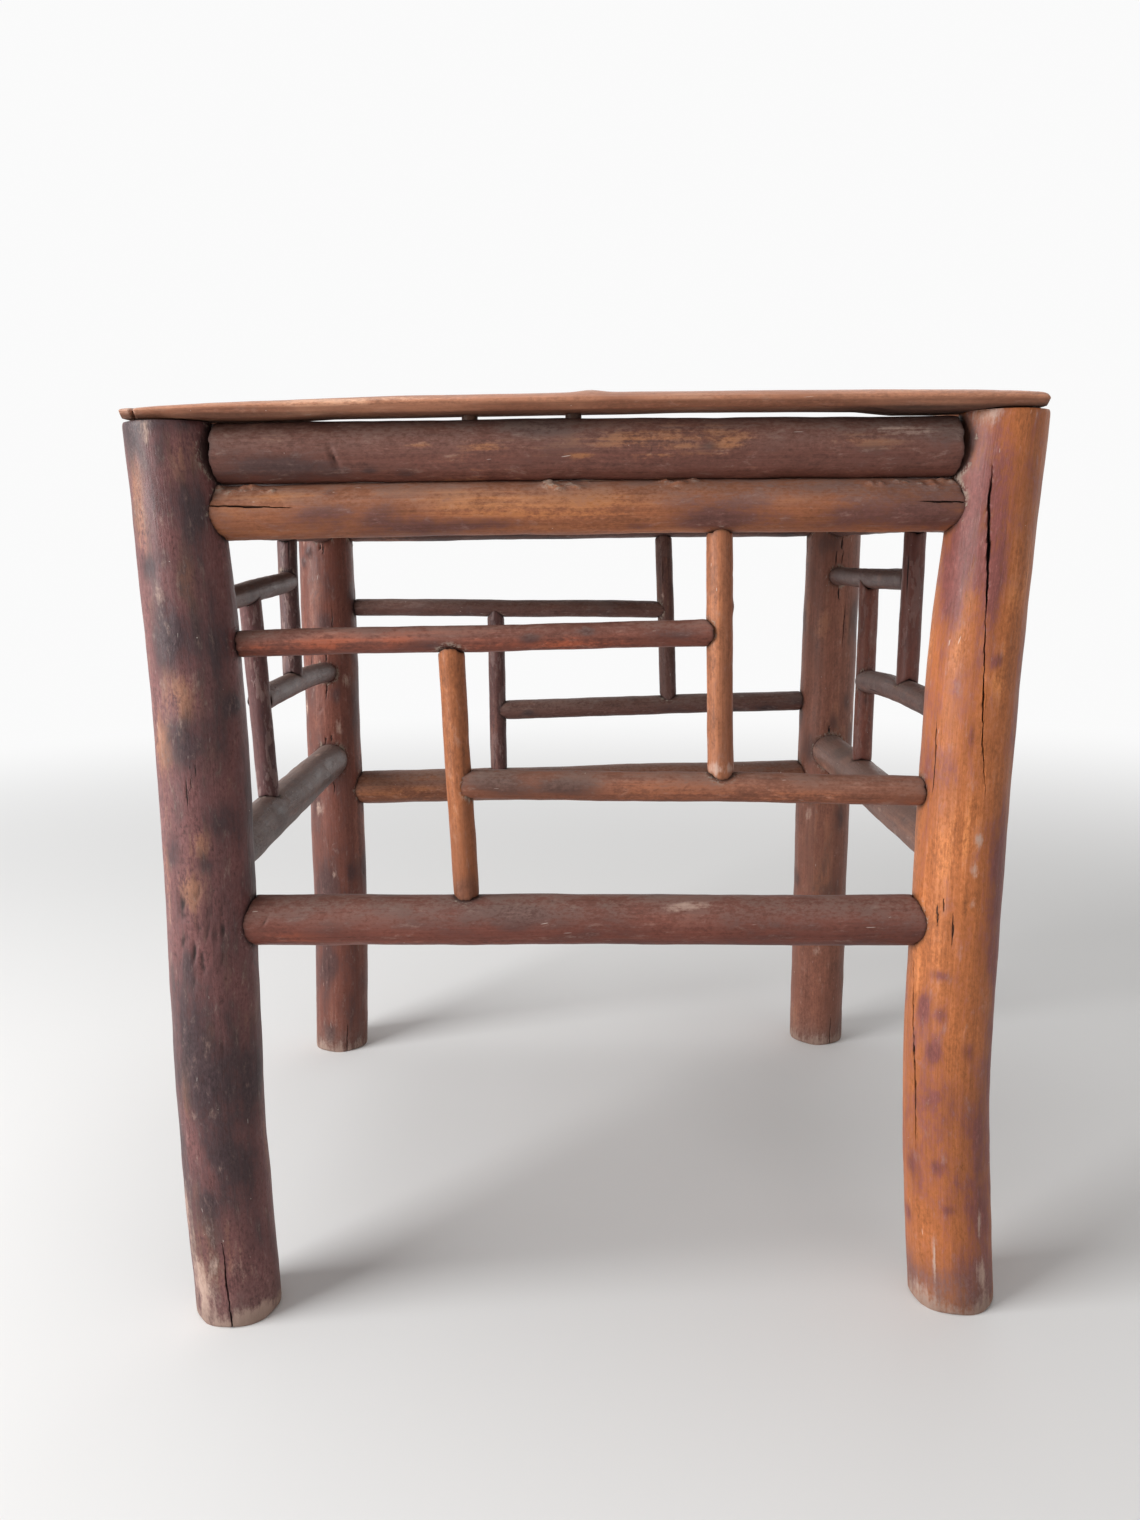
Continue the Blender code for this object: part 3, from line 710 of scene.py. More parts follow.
# %% [markdown]
# ## Fitting the ends
# Each rail or stick is scribed to the round pole that carries it: its end is hollowed so that it
# wraps round. A Boolean could cut that shape, but it leaves ragged triangles. Here a ray runs along
# every lengthwise line of the pole until it meets the carrier, and the line simply stops there, a
# hair short, which leaves the dark uneven gap of an old joint. The front upper rail was cut almost
# square instead, so its lines all stop near the shortest one.

# %% Cut the ends to fit
GAP, GAP_RAGGED, CHIPPED = 0.0003, 0.0009, 0.6
TENON_SHARE, TENON_TIP = 0.52, 0.95
LOOK_BACK, RAY_REACH, AXIS_GUARD = 0.045, 0.2, 0.15
SQUARE_CUT = {("upper_rail_front", False): 0.75, ("upper_rail_front", True): 0.8}


def tip_of(pole, at_end):
    return pole.length if at_end else 0.0


def fit_end(pole, carrier, at_end, share=1.0, square=0.0):
    """For each turn, where the pole's surface meets the carrier, or short of that if cut square."""
    turns = turns_round(pole.sides)
    sign = 1.0 if at_end else -1.0
    nearest = np.linalg.norm(carrier.middles - pole.middle(tip_of(pole, at_end)), axis=1).argmin()
    across = float((carrier.middles[nearest] - pole.first) @ pole.along)
    limit = across - sign * AXIS_GUARD * carrier.radius
    begin = np.full(pole.sides, across - sign * (carrier.radius + LOOK_BACK))
    starts = pole.place(begin, turns, pole.girth(begin, turns) * share)
    found = []
    for start, s in zip(starts, begin):
        hit = carrier.tree.ray_cast(Vector(start), Vector(sign * pole.along), RAY_REACH)
        found.append(s + sign * hit[3] if hit[0] is not None else limit)
    found = np.minimum(found, limit) if at_end else np.maximum(found, limit)
    shortest = found.min() if at_end else found.max()
    found = found + square * (shortest - found)
    ragged = (0.5 + 0.5 * np.sin(3 * turns + pole.seed[0])) * (0.5 + 0.5 * np.sin(8 * turns + pole.seed[1]))
    chips = np.clip(np.sin(13 * turns + pole.seed[2]) * np.sin(29 * turns + pole.seed[0]), 0, 1)
    return found - sign * (GAP + GAP_RAGGED * (ragged + CHIPPED * chips))


def carrier_of(pole, at_end):
    """The pole that a tenon's tip lies in: a leg where there is one, or the nearest axis."""
    tip = pole.middle(tip_of(pole, at_end))
    inside = []
    for other in poles.values():
        if other is not pole:
            gap = np.linalg.norm(other.middles - tip, axis=1).min() - other.radius
            inside.append((gap if other.kind != "leg" or gap > 0 else -1.0, other.node))
    return poles[min(inside)[1]]

# %% [markdown]
# ## From table to mesh
# A finished pole is a grid of quads, closed at both ends. Each vertex also stores where it lies in
# the wood, as the vector "grain", and how much stain, wear, dust or dirt it carries, and where shade is
# painted on. The material reads these attributes, so the pattern follows each pole and not the room.

# %% Store marks on a mesh
# The stain, dust and grime marks also carry painted shade in some places.
MARKS = ("stain", "warm", "pale", "dust", "grime_and_shade", "crumb", "crack", "cut")


def no_marks(count):
    return {key: np.zeros(count) for key in MARKS}


def store(mesh, fields):
    """Keep one number or vector for each vertex, under its name."""
    for key, values in fields.items():
        kind, part = ("FLOAT_VECTOR", "vector") if values.ndim == 2 else ("FLOAT", "value")
        spot = mesh.attributes.new(key, kind, "POINT")
        spot.data.foreach_set(part, values.astype(np.float32).ravel())


def smooth_shaded(mesh, degrees):
    mesh.shade_smooth()
    mesh.set_sharp_from_angle(angle=math.radians(degrees))


print("kinds of mark:", ", ".join(MARKS))

# %% Make a closed mesh with its marks
SHARP_POLE = 52


def piece_mesh(node, places, faces, material, fields):
    quads, tris = faces
    mesh = bpy.data.meshes.new("worn_" + node)
    mesh.vertices.add(len(places))
    mesh.vertices.foreach_set("co", np.clip(places, cad_box[0], cad_box[1]).astype(np.float32).ravel())
    loops = np.concatenate([quads.ravel(), tris.ravel()]).astype(np.int32)
    mesh.loops.add(len(loops))
    mesh.loops.foreach_set("vertex_index", loops)
    begins = np.concatenate([np.arange(len(quads)) * 4, len(quads) * 4 + np.arange(len(tris)) * 3])
    mesh.polygons.add(len(begins))
    mesh.polygons.foreach_set("loop_start", begins.astype(np.int32))
    mesh.update(calc_edges=True)
    mesh.validate()
    store(mesh, fields)
    shell = bmesh.new()
    shell.from_mesh(mesh)
    if shell.calc_volume(signed=True) < 0:
        bmesh.ops.reverse_faces(shell, faces=shell.faces)
        shell.to_mesh(mesh)
    open_edges = sum(not edge.is_manifold for edge in shell.edges)
    shell.free()
    if open_edges:
        print(node, "has", open_edges, "open edges")
    smooth_shaded(mesh, SHARP_POLE)
    mesh.materials.append(material)
    return mesh

# %% Close the rings and hand a piece over
def closed_faces(stations, sides, cap_rings):
    """Quads and triangles of a grid, closed at each end by smaller rings and a middle vertex."""
    quads, tris = [ring_faces(stations, sides)], []
    total = stations * sides
    j = np.arange(sides)
    k = (j + 1) % sides
    for edge, order in ((0, -1), ((stations - 1) * sides, 1)):
        starts = [edge] + [total + n * sides for n in range(cap_rings)]
        total += cap_rings * sides + 1
        for a, b in zip(starts, starts[1:]):
            quads.append(np.stack([a + j, a + k, b + k, b + j], 1)[:, ::order])
        tris.append(np.stack([starts[-1] + j, starts[-1] + k, np.full(sides, total - 1)], 1)[:, ::order])
    return np.concatenate(quads), np.concatenate(tris)


def hand_over(mesh, node):
    """Put the mesh in the scene in place of its CAD node."""
    piece = bpy.data.objects.new("worn_" + node, mesh)
    scene.collection.objects.link(piece)
    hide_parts(node)
    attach(piece, "root")

# %% Close a pole's ends and gather its marks
DUST_FROM, DUST_FULL = -0.25, 0.95
END_DIRT_AND_SHADE, END_DIRT_AND_SHADE_REACH = 0.6, 0.0014


def either(first, second):
    """Two strengths together, never more than 1."""
    return 1 - (1 - first) * (1 - second)


def cap_points(pole, s, turn, radius, caps):
    """Place, turn and radius of the vertices that close both ends: smaller rings, then a middle."""
    turns, rows = turns_round(pole.sides), []
    for row, rings in zip((0, -1), caps):
        for share, ring_s in rings:
            place = s[row] if ring_s is None else np.interp(turn[row], turns, ring_s, period=2 * np.pi)
            rows.append((place, turn[row], radius[row] * share))
        rows.append((np.array([place.mean()]), np.zeros(1), np.zeros(1)))
    return [np.concatenate(part) for part in zip(*rows)]


def marks_on(pole, s, turn, near):
    fields = no_marks(len(s))
    for mark in pole.features + pole.patches:
        for key, value in mark.marks(s, turn, pole.radius).items():
            fields[key] = either(fields[key], np.clip(value, 0, 1))
    # Dirt and painted shade gather near a rail's or stick's ends; its shoulder and tenon in the joint are
    # painted fully dark as shade.
    if pole.kind != "leg":
        fields["grime_and_shade"] = either(fields["grime_and_shade"], END_DIRT_AND_SHADE * np.exp(-near / END_DIRT_AND_SHADE_REACH))
    fields["cut" if pole.kind in ("leg", "peg") else "grime_and_shade"][pole.stations * pole.sides:] = 1.0
    if abs(pole.along[2]) < STEEP:
        film = np.clip((np.sin(turn) - DUST_FROM) / (DUST_FULL - DUST_FROM), 0, 1)
        fields["dust"] = np.clip(fields["dust"] + film, 0, 1)
    return fields

# %% Dress one pole
STATION_CROWD = 0.55
WORN_EDGE, WORN_REACH = 0.00025, 0.0008
FOOT_ROUND, FOOT_HEIGHT = 0.0016, 0.0022
TOP_ROUND, TOP_REACH = 0.0006, 0.0008


def crowded(count, amount):
    """Shares from 0 to 1 that lie closer together near both ends."""
    even = np.linspace(0.0, 1.0, count)
    return even - amount * np.sin(2 * np.pi * even) / (2 * np.pi)


def dress(pole, material, low, high, caps):
    """The mesh of one pole between its two fitted ends, with the cap rings given for each end."""
    share = crowded(pole.stations, STATION_CROWD)[:, None]
    s = low.mean() + share * (high.mean() - low.mean()) + np.zeros(pole.sides)
    turn = pole.lines + np.zeros((pole.stations, 1))
    for feature in pole.features:
        turn = feature.crowd(s, turn, pole.radius)
    begin, end = (np.interp(turn, turns_round(pole.sides), rim, period=2 * np.pi) for rim in (low, high))
    s = begin + share * (end - begin)
    near = np.minimum(s - begin, end - s)
    radius = pole.girth(s, turn)
    for feature in pole.features:
        radius = radius + feature.lift(s, turn, pole.radius)
    if pole.kind == "leg":
        foot = np.clip(1.0 - s / FOOT_HEIGHT, 0, 1) ** 2 * (0.6 + 0.4 * np.sin(5 * turn + pole.seed[0]))
        radius = radius - FOOT_ROUND * foot - TOP_ROUND * np.exp(-(end - s) / TOP_REACH)
    else:
        radius = radius - WORN_EDGE * np.exp(-near / WORN_REACH)
    closing = cap_points(pole, s, turn, radius, caps)
    s, turn, radius = (np.concatenate([a.ravel(), b]) for a, b in zip((s, turn, radius), closing))
    near = np.concatenate([near.ravel(), np.zeros(len(s) - near.size)])
    fields = marks_on(pole, s, turn, near)
    fields["grain"] = np.stack([radius * np.cos(turn), radius * np.sin(turn), s], 1) + pole.seed
    faces = closed_faces(pole.stations, pole.sides, len(caps[0]))
    return piece_mesh(pole.node, pole.place(s, turn, radius), faces, material, fields)

# %% [markdown]
# ## Old wood, handled and stained
# The poles were oiled or stained once and then handled for decades: brown with grey-black clouds,
# worn to a warmer tone where hands touch, with a film of dust on every upper side, fine fibres along
# the grain, and small pale specks and scratches. One function mixes these layers, and also paints shade
# dark into cracks, gouges and joints and onto a few other shaded places. Each pole gets its own three
# tones; how much of each shows comes from noise and from the marks stored on the mesh.

# %% Mix the wood material
BARE = paint(188, 159, 144)
DUST_AND_SHADE_TONE = paint(134, 114, 105)
SOOT_AND_SHADE = paint(28, 19, 17)
SPECK = paint(230, 219, 208)
CUT = paint(156, 124, 100)
CRUMB = paint(158, 142, 128)
FLAKE = paint(150, 124, 118)
ROUGHNESS, WOOD_IOR, SHEEN = 0.46, 1.45, 0.32
RELIEF, RELIEF_HEIGHT = 0.7, 0.0005
DRIFT = 0.016


def specks_on(bench, grain, scale, size, share):
    """Small marks, each in its own cell of a Voronoi pattern: only a share of the cells has one."""
    spread = bench.vector("MULTIPLY", grain, scale)
    cells = bench.add("ShaderNodeTexVoronoi", {}, {"Vector": spread, "Scale": 1.0})
    pick = bench.add("ShaderNodeSeparateColor", {}, {"Color": cells.out("Color")})
    reach = size * (0.4 + pick.out("Green"))
    return (1 - (cells.out("Distance") / reach).rise(0.6, 1.0)) * pick.rise(1.0 - share, 1.002 - share)


def aged_wood(name, body, deep, warm, mottle, worn, flake=0.0, blotchy=1.0):
    """Wood of three tones. A blotchy one shows fewer fibres and more small spots."""
    material = bpy.data.materials.new(name)
    material.use_nodes = True
    bench = Bench(material.node_tree)

    def mark(key):
        return bench.add("ShaderNodeAttribute", {"attribute_name": key}, {}).out("Fac")

    grain = bench.add("ShaderNodeAttribute", {"attribute_name": "grain"}, {}).out("Vector")
    drift = bench.noise(grain, (38.0, 38.0, 16.0)).out("Color")
    drift = bench.vector("SCALE", drift, Scale=DRIFT)
    bent = bench.vector("ADD", grain, drift)
    clouds = bench.noise(bent, (26.0, 26.0, 10.0), 3.0, 0.55)
    blotch = bench.noise(bent, (90.0, 90.0, 42.0), 5.0, 0.65)
    veil = bench.noise(bench.vector("ADD", bent, (3.7, 1.9, 2.3)), (36.0, 36.0, 9.0), 4.0, 0.6)
    streak = bench.noise(grain, (330.0, 330.0, 5.5), 3.0, 0.6)
    fibre = bench.noise(grain, (1300.0, 1300.0, 30.0))
    grit = bench.noise(grain, (640.0, 640.0, 380.0), 3.0, 0.7)
    scuff = bench.noise(bench.vector("ADD", bent, (1.3, 5.1, 0.7)), (230.0, 230.0, 80.0), 5.0, 0.72)

    ragged = blotch.sway(0.9) + streak.sway(0.35) + grit.sway(0.5) + scuff.sway(0.6)
    # The stain mark is mostly real stain; on the rim's undercut and in a few leg rows it paints shade.
    stained = (clouds + ragged + mark("stain") * 0.40).rise(0.52 - 0.2 * mottle, 0.94 - 0.2 * mottle)
    rubbed = veil + ragged + streak.sway(0.5 / blotchy) + mark("warm") * 0.36
    warmed = rubbed.rise(0.64 - 0.2 * worn, 1.04 - 0.2 * worn)
    colour = bench.blend(paint(*body), paint(*warm), warmed * 0.85)
    colour = bench.blend(colour, paint(*deep), stained * 0.9)
    colour = bench.blend(colour, BARE, scuff.rise(0.55, 0.74) * 0.20)
    tone = 1.0 + streak.sway(0.8 / blotchy) + fibre.sway(0.5 / blotchy) + blotch.sway(0.8)
    tone = tone + grit.sway(1.2 * blotchy) + scuff.sway(0.7 * blotchy)
    colour = bench.vector("SCALE", colour, Scale=tone)
    relief = streak * 0.5 + fibre * 0.3 + blotch * 0.8 + grit * 0.5 + scuff * 0.5
    if flake:
        bark = bench.noise(bent, (170.0, 170.0, 48.0), 4.0, 0.62).rise(0.545, 0.575)
        colour = bench.blend(colour, FLAKE, bark * (0.4 + grit * 0.6) * flake)
        relief = relief + bark * 0.9
    # The dust mark is real dust, except one grey patch on the front right leg that paints shade.
    dusty = mark("dust") * (0.35 + 0.65 * (blotch + grit.sway(0.9)).rise(0.36, 0.62))
    colour = bench.blend(colour, DUST_AND_SHADE_TONE, dusty * 0.6)
    bare = mark("pale")
    bared = (bare + blotch.sway(1.2) + streak.sway(0.9 / blotchy) + grit.sway(0.5)).rise(0.22, 0.76)
    bared = bared * bare.rise(0.02, 0.2)
    colour = bench.blend(colour, BARE, bared * 0.85)
    colour = bench.blend(colour, CUT, mark("cut") * (0.55 + 0.45 * blotch))
    fleck = specks_on(bench, grain, (150.0, 150.0, 150.0), 0.045, 0.30)
    scratch = specks_on(bench, bench.vector("ADD", grain, drift), (700.0, 840.0, 64.0), 0.14, 0.05)
    colour = bench.blend(colour, SPECK, fleck.most(scratch * 0.55) * 0.75)
    # Real dirt and painted shade: the grime mark and cracks darken towards soot here.
    dirt_and_shade = (mark("grime_and_shade") * (0.55 + blotch * 0.8)).most(mark("crack").rise(0.1, 0.8))
    colour = bench.blend(colour, SOOT_AND_SHADE, dirt_and_shade.rise(0.0, 1.0) * 0.92)
    crumbs = mark("crumb") * (grit + blotch.sway(1.2)).rise(0.52, 0.64)
    colour = bench.blend(colour, CRUMB, crumbs * 0.75)

    shine = ROUGHNESS + blotch.sway(0.3) + dusty * 0.20 + bared * 0.2 + dirt_and_shade * 0.25 + crumbs * 0.3
    height = relief + crumbs * 0.8 + fleck * 0.4
    bump = bench.add("ShaderNodeBump", {}, {"Strength": RELIEF, "Distance": RELIEF_HEIGHT, "Height": height})
    sockets = {"Base Color": colour, "Roughness": shine, "Normal": bump, "IOR": WOOD_IOR}
    surface = bench.add("ShaderNodeBsdfPrincipled", {}, {**sockets, "Specular IOR Level": SHEEN})
    bench.add("ShaderNodeOutputMaterial", {}, {"Surface": surface})
    return material

# %% Choose the tones of each pole
TONES = {
    # body, deep, warm, mottle, worn, flaking bark, blotchy
    "leg_front_left": ((112, 72, 70), (54, 42, 45), (150, 104, 80), 0.64, 0.32, 0.0, 1.8),
    "leg_front_right": ((174, 102, 58), (112, 64, 64), (204, 130, 78), 0.20, 0.50),
    "leg_back_left": ((116, 68, 56), (74, 50, 48), (156, 96, 74), 0.45, 0.45),
    "leg_back_right": ((132, 84, 68), (82, 56, 50), (168, 112, 84), 0.45, 0.45),
    "upper_rail": ((104, 64, 54), (68, 48, 46), (162, 106, 66), 0.55, 0.22),
    "lower_rail": ((146, 88, 58), (92, 58, 54), (178, 114, 66), 0.35, 0.50),
    "stretcher": ((114, 62, 50), (76, 46, 42), (142, 74, 52), 0.45, 0.34),
    "high_stick": ((112, 62, 49), (70, 46, 44), (160, 82, 54), 0.50, 0.38),
    "low_stick": ((128, 78, 58), (78, 54, 48), (160, 96, 64), 0.40, 0.45),
    "standing_post": ((150, 89, 55), (108, 66, 48), (178, 111, 66), 0.20, 0.50),
    "hanging_post": ((154, 96, 66), (104, 66, 52), (184, 116, 76), 0.22, 0.50),
    "stretcher_back": ((122, 74, 52), (82, 54, 46), (158, 98, 58), 0.40, 0.50),
    "stretcher_left": ((92, 70, 64), (66, 52, 50), (116, 84, 72), 0.45, 0.30, 0.1),
    "stretcher_right": ((132, 92, 78), (88, 64, 56), (158, 110, 88), 0.45, 0.40, 0.1),
    "standing_post_left": ((98, 64, 62), (66, 48, 50), (132, 92, 84), 0.45, 0.35, 0.6),
    "hanging_post_left": ((88, 60, 58), (58, 44, 46), (120, 84, 76), 0.50, 0.35, 0.5),
    "standing_post_right": ((114, 66, 54), (68, 46, 42), (144, 86, 66), 0.50, 0.35, 0.3),
    "hanging_post_right": ((112, 66, 56), (68, 46, 44), (142, 86, 68), 0.50, 0.35, 0.3),
    "standing_post_back": ((92, 60, 56), (62, 46, 46), (122, 78, 66), 0.50, 0.30, 0.4),
    "far": ((98, 66, 58), (62, 46, 46), (132, 84, 64), 0.55, 0.35, 0.15),
    "brace": ((120, 84, 60), (84, 60, 48), (150, 104, 72), 0.40, 0.40),
    "strip": ((178, 122, 94), (128, 82, 62), (212, 164, 134), 0.20, 0.60),
    "peg": ((96, 66, 50), (60, 42, 36), (128, 90, 64), 0.50, 0.30),
    "board": ((142, 98, 68), (98, 66, 50), (170, 118, 80), 0.45, 0.50),
}


def wood_of(node, kind):
    """A piece's own wood: by its name, else as a front pole of its kind, or one of the far poles."""
    far = kind in STRAIGHT and not node.endswith("front")
    return aged_wood("aged_" + node, *(TONES.get(node) or TONES["far" if far else kind]))


print(len(TONES), "wood tones")

# %% [markdown]
# ## Growing the poles
# Turn 0 of a leg or post faces the front, and turn 90 faces right. Turn 0 of a rail or stick
# faces the viewer, and turn 90 faces up. Legs are grown first, because they carry the rest. Some
# rails and sticks bow a little, and three front sticks swell towards the viewer at one end.

# %% Grow all thirty-two poles
FACING = {"front": FRONT, "back": FRONT, "left": RIGHT, "right": (-1.0, 0.0, 0.0)}
BOWED_UP = {
    "low_stick_right": 0.004, "low_stick_left": 0.003, "lower_rail_front": 0.0012,
    "lower_rail_back": 0.001, "lower_rail_left": 0.001, "lower_rail_right": 0.001,
}
SWELL_REACH = 0.016
SWOLLEN_ENDS = {
    ("hanging_post_front", False): 0.0018,
    ("high_stick_front", True): 0.0018,
    ("standing_post_front", True): 0.0016,
}

poles = {}
for corner in CORNERS:
    node = "leg_" + corner
    poles[node] = Pole(node, "leg", *axes[node], FRONT, RIGHT)
for kind in STRAIGHT:
    for side in SIDES:
        node = kind + "_" + side
        facing, turning = (FRONT, RIGHT) if kind.endswith("post") else (FACING[side], UP)
        poles[node] = Pole(node, kind, *axes[node], facing, turning, (0.0, BOWED_UP.get(node, 0.0)))
for (node, at_end), swell in SWOLLEN_ENDS.items():
    pole = poles[node]
    front = np.clip(np.cos(turns_round(pole.sides)), 0, 1)
    pole.table += swell * bell(pole.steps - tip_of(pole, at_end), SWELL_REACH)[:, None] * front
for pole in poles.values():
    pole.tree = pole.surface_tree()
print(len(poles), "poles grown")

# %% [markdown]
# ## The marks of use
# Every pole of the real table has its own history, and the photograph shows it: black stains, rubbed
# patches, drying cracks, gouges beside joints and pale, scuffed feet. These are given one by one, in
# millimetres along the pole and degrees round it. The sides that the photograph can't show get marks
# of the same kinds from a fixed random seed.

# %% Mark the front left leg
def mark_pole(node, **kinds):
    """Add soft areas to a pole: for each kind, rows of (place, turn, length, breadth, strength)."""
    poles[node].patches += [patch(kind, *row) for kind, rows in kinds.items() for row in rows]
    print(node, "has", len(poles[node].patches), "coloured areas")


mark_pole(
    "leg_front_left",
    # The row at 476, turn 15, darkens the leg's top just under the rim.
    stain=[
        (464, 3, 12, 5, 0.8), (440, -4, 10, 8, 0.7), (433, 36, 17, 9), (470, -40, 12, 8, 0.8),
        (476, 15, 5, 25, 0.7), (408, -35, 6, 6, 0.8), (396, 34, 14, 8, 0.3), (368, 44, 12, 9, 0.6),
        (371, -12, 14, 12, 0.7), (325, -8, 11, 7), (327, 40, 20, 11, 0.5), (281, 38, 10, 8, 0.4),
        (260, 10, 5, 5, 0.55), (267, -32, 7, 5, 0.45), (240, -27, 7, 4, 0.5), (205, -11, 8, 8, 0.5),
        (170, -16, 18, 9, 0.6), (158, 0, 55, 26, 0.45), (141, 5, 18, 13, 0.6), (139, 60, 20, 12, 0.8),
        (90, 34, 22, 13, 0.8), (74, -4, 9, 8, 0.6),
    ],
    warm=[
        (452, 27, 12, 9, 0.5), (437, -42, 26, 7), (398, 12, 15, 6, 0.8), (384, 20, 24, 6, 0.4),
        (350, -9, 12, 7), (339, 0, 10, 5), (320, -38, 13, 8), (270, 9, 9, 5, 0.9), (245, -12, 9, 8),
        (171, 7, 10, 6, 0.7), (137, -34, 22, 5), (77, -31, 9, 5), (58, -18, 9, 6),
        (30, -8, 16, 13, 0.6), (52, -40, 24, 12), (52, -8, 30, 14, 0.8),
    ],
    pale=[
        (470, -14, 9, 6, 0.45), (395, -18, 9, 4, 0.35), (123, -20, 4, 3, 0.4), (125, 6, 5, 4, 0.4),
        (14, -32, 10, 8, 0.5), (5, 46, 6, 12, 0.8), (62, -62, 20, 8, 0.6), (26, -46, 14, 9, 0.55),
        (36, 20, 10, 5, 0.4), (42, -20, 30, 11, 0.22),
    ],
)
poles["leg_front_left"].features += [
    crack([(0, 4), (12, 4), (31, 2), (42, 4), (54, 1)], 0.7, 3.0, open_start=True),
    crack([(313, 1), (294, 0)], 0.6, 0.6),
    crack([(312, 7), (298, 6)], 0.5, 0.5),
    crack([(306, -5), (288, -6)], 0.5, 0.5),
    dent(240, -24, 4.0, 1.6, 0.8), dent(232, -20, 1.8, 3.0, 0.6), dent(225, 28, 5.0, 1.5, 0.9),
    dent(222, 20, 6.0, 1.3, 0.7), dent(215, -8, 6.0, 1.5, 0.7), dent(160, 22, 7.0, 1.4, 0.5),
    knot(338, 62, 5.0, 5.0, 0.9),
]

# %% Mark the front right leg
mark_pole(
    "leg_front_right",
    # The rows at 432 and 400 on turns -15 and -7 paint the shadow beside the big crack; the rows at turns 40
    # to 66 paint shade and stain down the leg's right side.
    stain=[
        (472, -5, 10, 24, 0.35), (460, -68, 14, 8, 0.5), (444, -30, 16, 8, 0.9), (416, -46, 26, 15),
        (400, -56, 14, 10, 0.6), (425, -40, 20, 12, 0.8), (432, -15, 18, 4), (400, -7, 26, 4),
        (384, -58, 8, 6, 0.5), (356, 10, 4, 3, 0.5), (319, -15, 6, 2, 0.7), (262, 40, 24, 9, 0.8),
        (243, 47, 22, 9, 0.7), (193, -34, 3, 6, 0.8), (174, -54, 8, 4), (150, -37, 6, 4),
        (151, 9, 6, 4), (172, -28, 5, 3, 0.7), (86, -30, 4, 4), (81, -72, 7, 4), (62, -15, 3, 4, 0.8),
        (51, -80, 5, 4, 0.9), (95, 32, 26, 6, 0.8), (66, 31, 22, 7, 0.8), (19, -3, 6, 9),
        (18, -32, 7, 8), (14, -60, 10, 12, 0.9), (13, 22, 10, 14, 0.9), (16, -22, 15, 40, 0.9),
        (450, 18, 26, 20, 0.35), (330, 66, 90, 9, 0.6), (200, 62, 80, 9, 0.6), (110, 60, 70, 9, 0.7),
        (95, -25, 70, 30, 0.5), (26, -8, 16, 20, 0.4),
    ],
    warm=[
        (365, -36, 20, 8, 0.9), (362, -98, 14, 7, 0.9), (396, -96, 22, 7), (387, 34, 14, 8, 0.5),
        (348, 14, 9, 7, 0.6),
    ],
    pale=[
        (476, -42, 7, 10, 0.5), (476, 2, 8, 14, 0.25), (266, 5, 4, 3, 0.5), (250, 0, 4, 3, 0.4),
        (233, 2, 4, 3, 0.5), (32, -36, 15, 0.9, 0.8), (53, 28, 10, 1.2, 0.7), (20, 30, 14, 4, 0.6),
        (9, -54, 8, 8, 0.6),
    ],
    # The row at 462 paints grey shade beside the upper rail's end; the row at 8 is dust at the foot.
    dust=[(462, -66, 16, 7, 0.9), (8, -20, 16, 60, 0.9)],
)
poles["leg_front_right"].features += [
    crack([(455, -25), (435, -25), (415, -19), (392, -14), (376, -11)], 1.7, 5.0),
    crack([(395, -15), (359, -8), (318, -2), (286, 10)], 0.7, 3.0),
    crack([(284, -61), (302, -59), (334, -64)], 0.6, 1.2),
    crack([(86, -60), (132, -61), (165, -70), (205, -77)], 1.0, 2.6),
    crack([(219, -40), (232, -43)], 1.1, 1.6),
    crack([(224, -33), (236, -36)], 0.9, 1.2),
    crack([(207, -20), (230, -22)], 0.6, 0.8),
    dent(218, -21, 4.0, 1.3, 0.9), knot(357, 9, 3.5, 3.0, 0.5),
]

# %% Mark the front rails and the stretcher
mark_pole(
    "upper_rail_front",
    stain=[(88, -40, 4, 3), (105, -50, 6, 3), (45, -30, 20, 6, 0.7), (175, 38, 18, 4, 0.8)],
    warm=[
        (218, 16, 24, 5), (250, 24, 22, 6), (262, 12, 12, 6), (144, 4, 9, 3, 0.9), (190, -15, 6, 1.5),
        (113, 8, 7, 2), (335, 20, 26, 6, 0.7),
    ],
    pale=[(345, 28, 16, 4, 0.45)],
)
poles["upper_rail_front"].features += [
    dent(71.5, -17, 6.5, 1.3, 1.6, -73), dent(225, -8, 4.5, 0.7, 0.4, -80), knot(252, 3, 5, 3, 0.5),
]
mark_pole(
    "lower_rail_front",
    stain=[
        (67, 40, 4, 3), (64, -4, 18, 7), (92, -10, 12, 7), (130, -38, 40, 4, 0.8), (255, -32, 20, 7),
        (215, -45, 9, 3, 0.9), (350, -20, 9, 5), (365, -35, 12, 5, 0.8), (318, -30, 40, 8, 0.7),
        (372, 20, 26, 9, 0.8), (300, 40, 40, 5, 0.6),
    ],
    warm=[(130, 15, 30, 7, 0.7), (200, 20, 30, 7, 0.8), (310, 25, 22, 6, 0.6), (40, 35, 14, 5, 0.7)],
)
poles["lower_rail_front"].features += [
    crack([(0, 18), (28, 12), (52, 7)], 0.9, 3.0, open_start=True),
    crack([(352, 6), (387, 5)], 0.8, 2.6, open_end=True),
    knot(186, 78, 5, 4, 0.8),
]
mark_pole(
    "stretcher_front",
    stain=[(155, 25, 14, 6, 0.8)],
    warm=[(35, -25, 18, 5), (190, -38, 50, 4, 0.8), (300, -35, 40, 4, 0.6)],
    pale=[(243, 52, 12, 3, 0.4), (232, 40, 8, 3, 0.4)],
)
poles["stretcher_front"].features += [dent(169, 64, 1.0, 1.0, 0.9), dent(20, 12, 5, 1.0, 0.5, 60)]

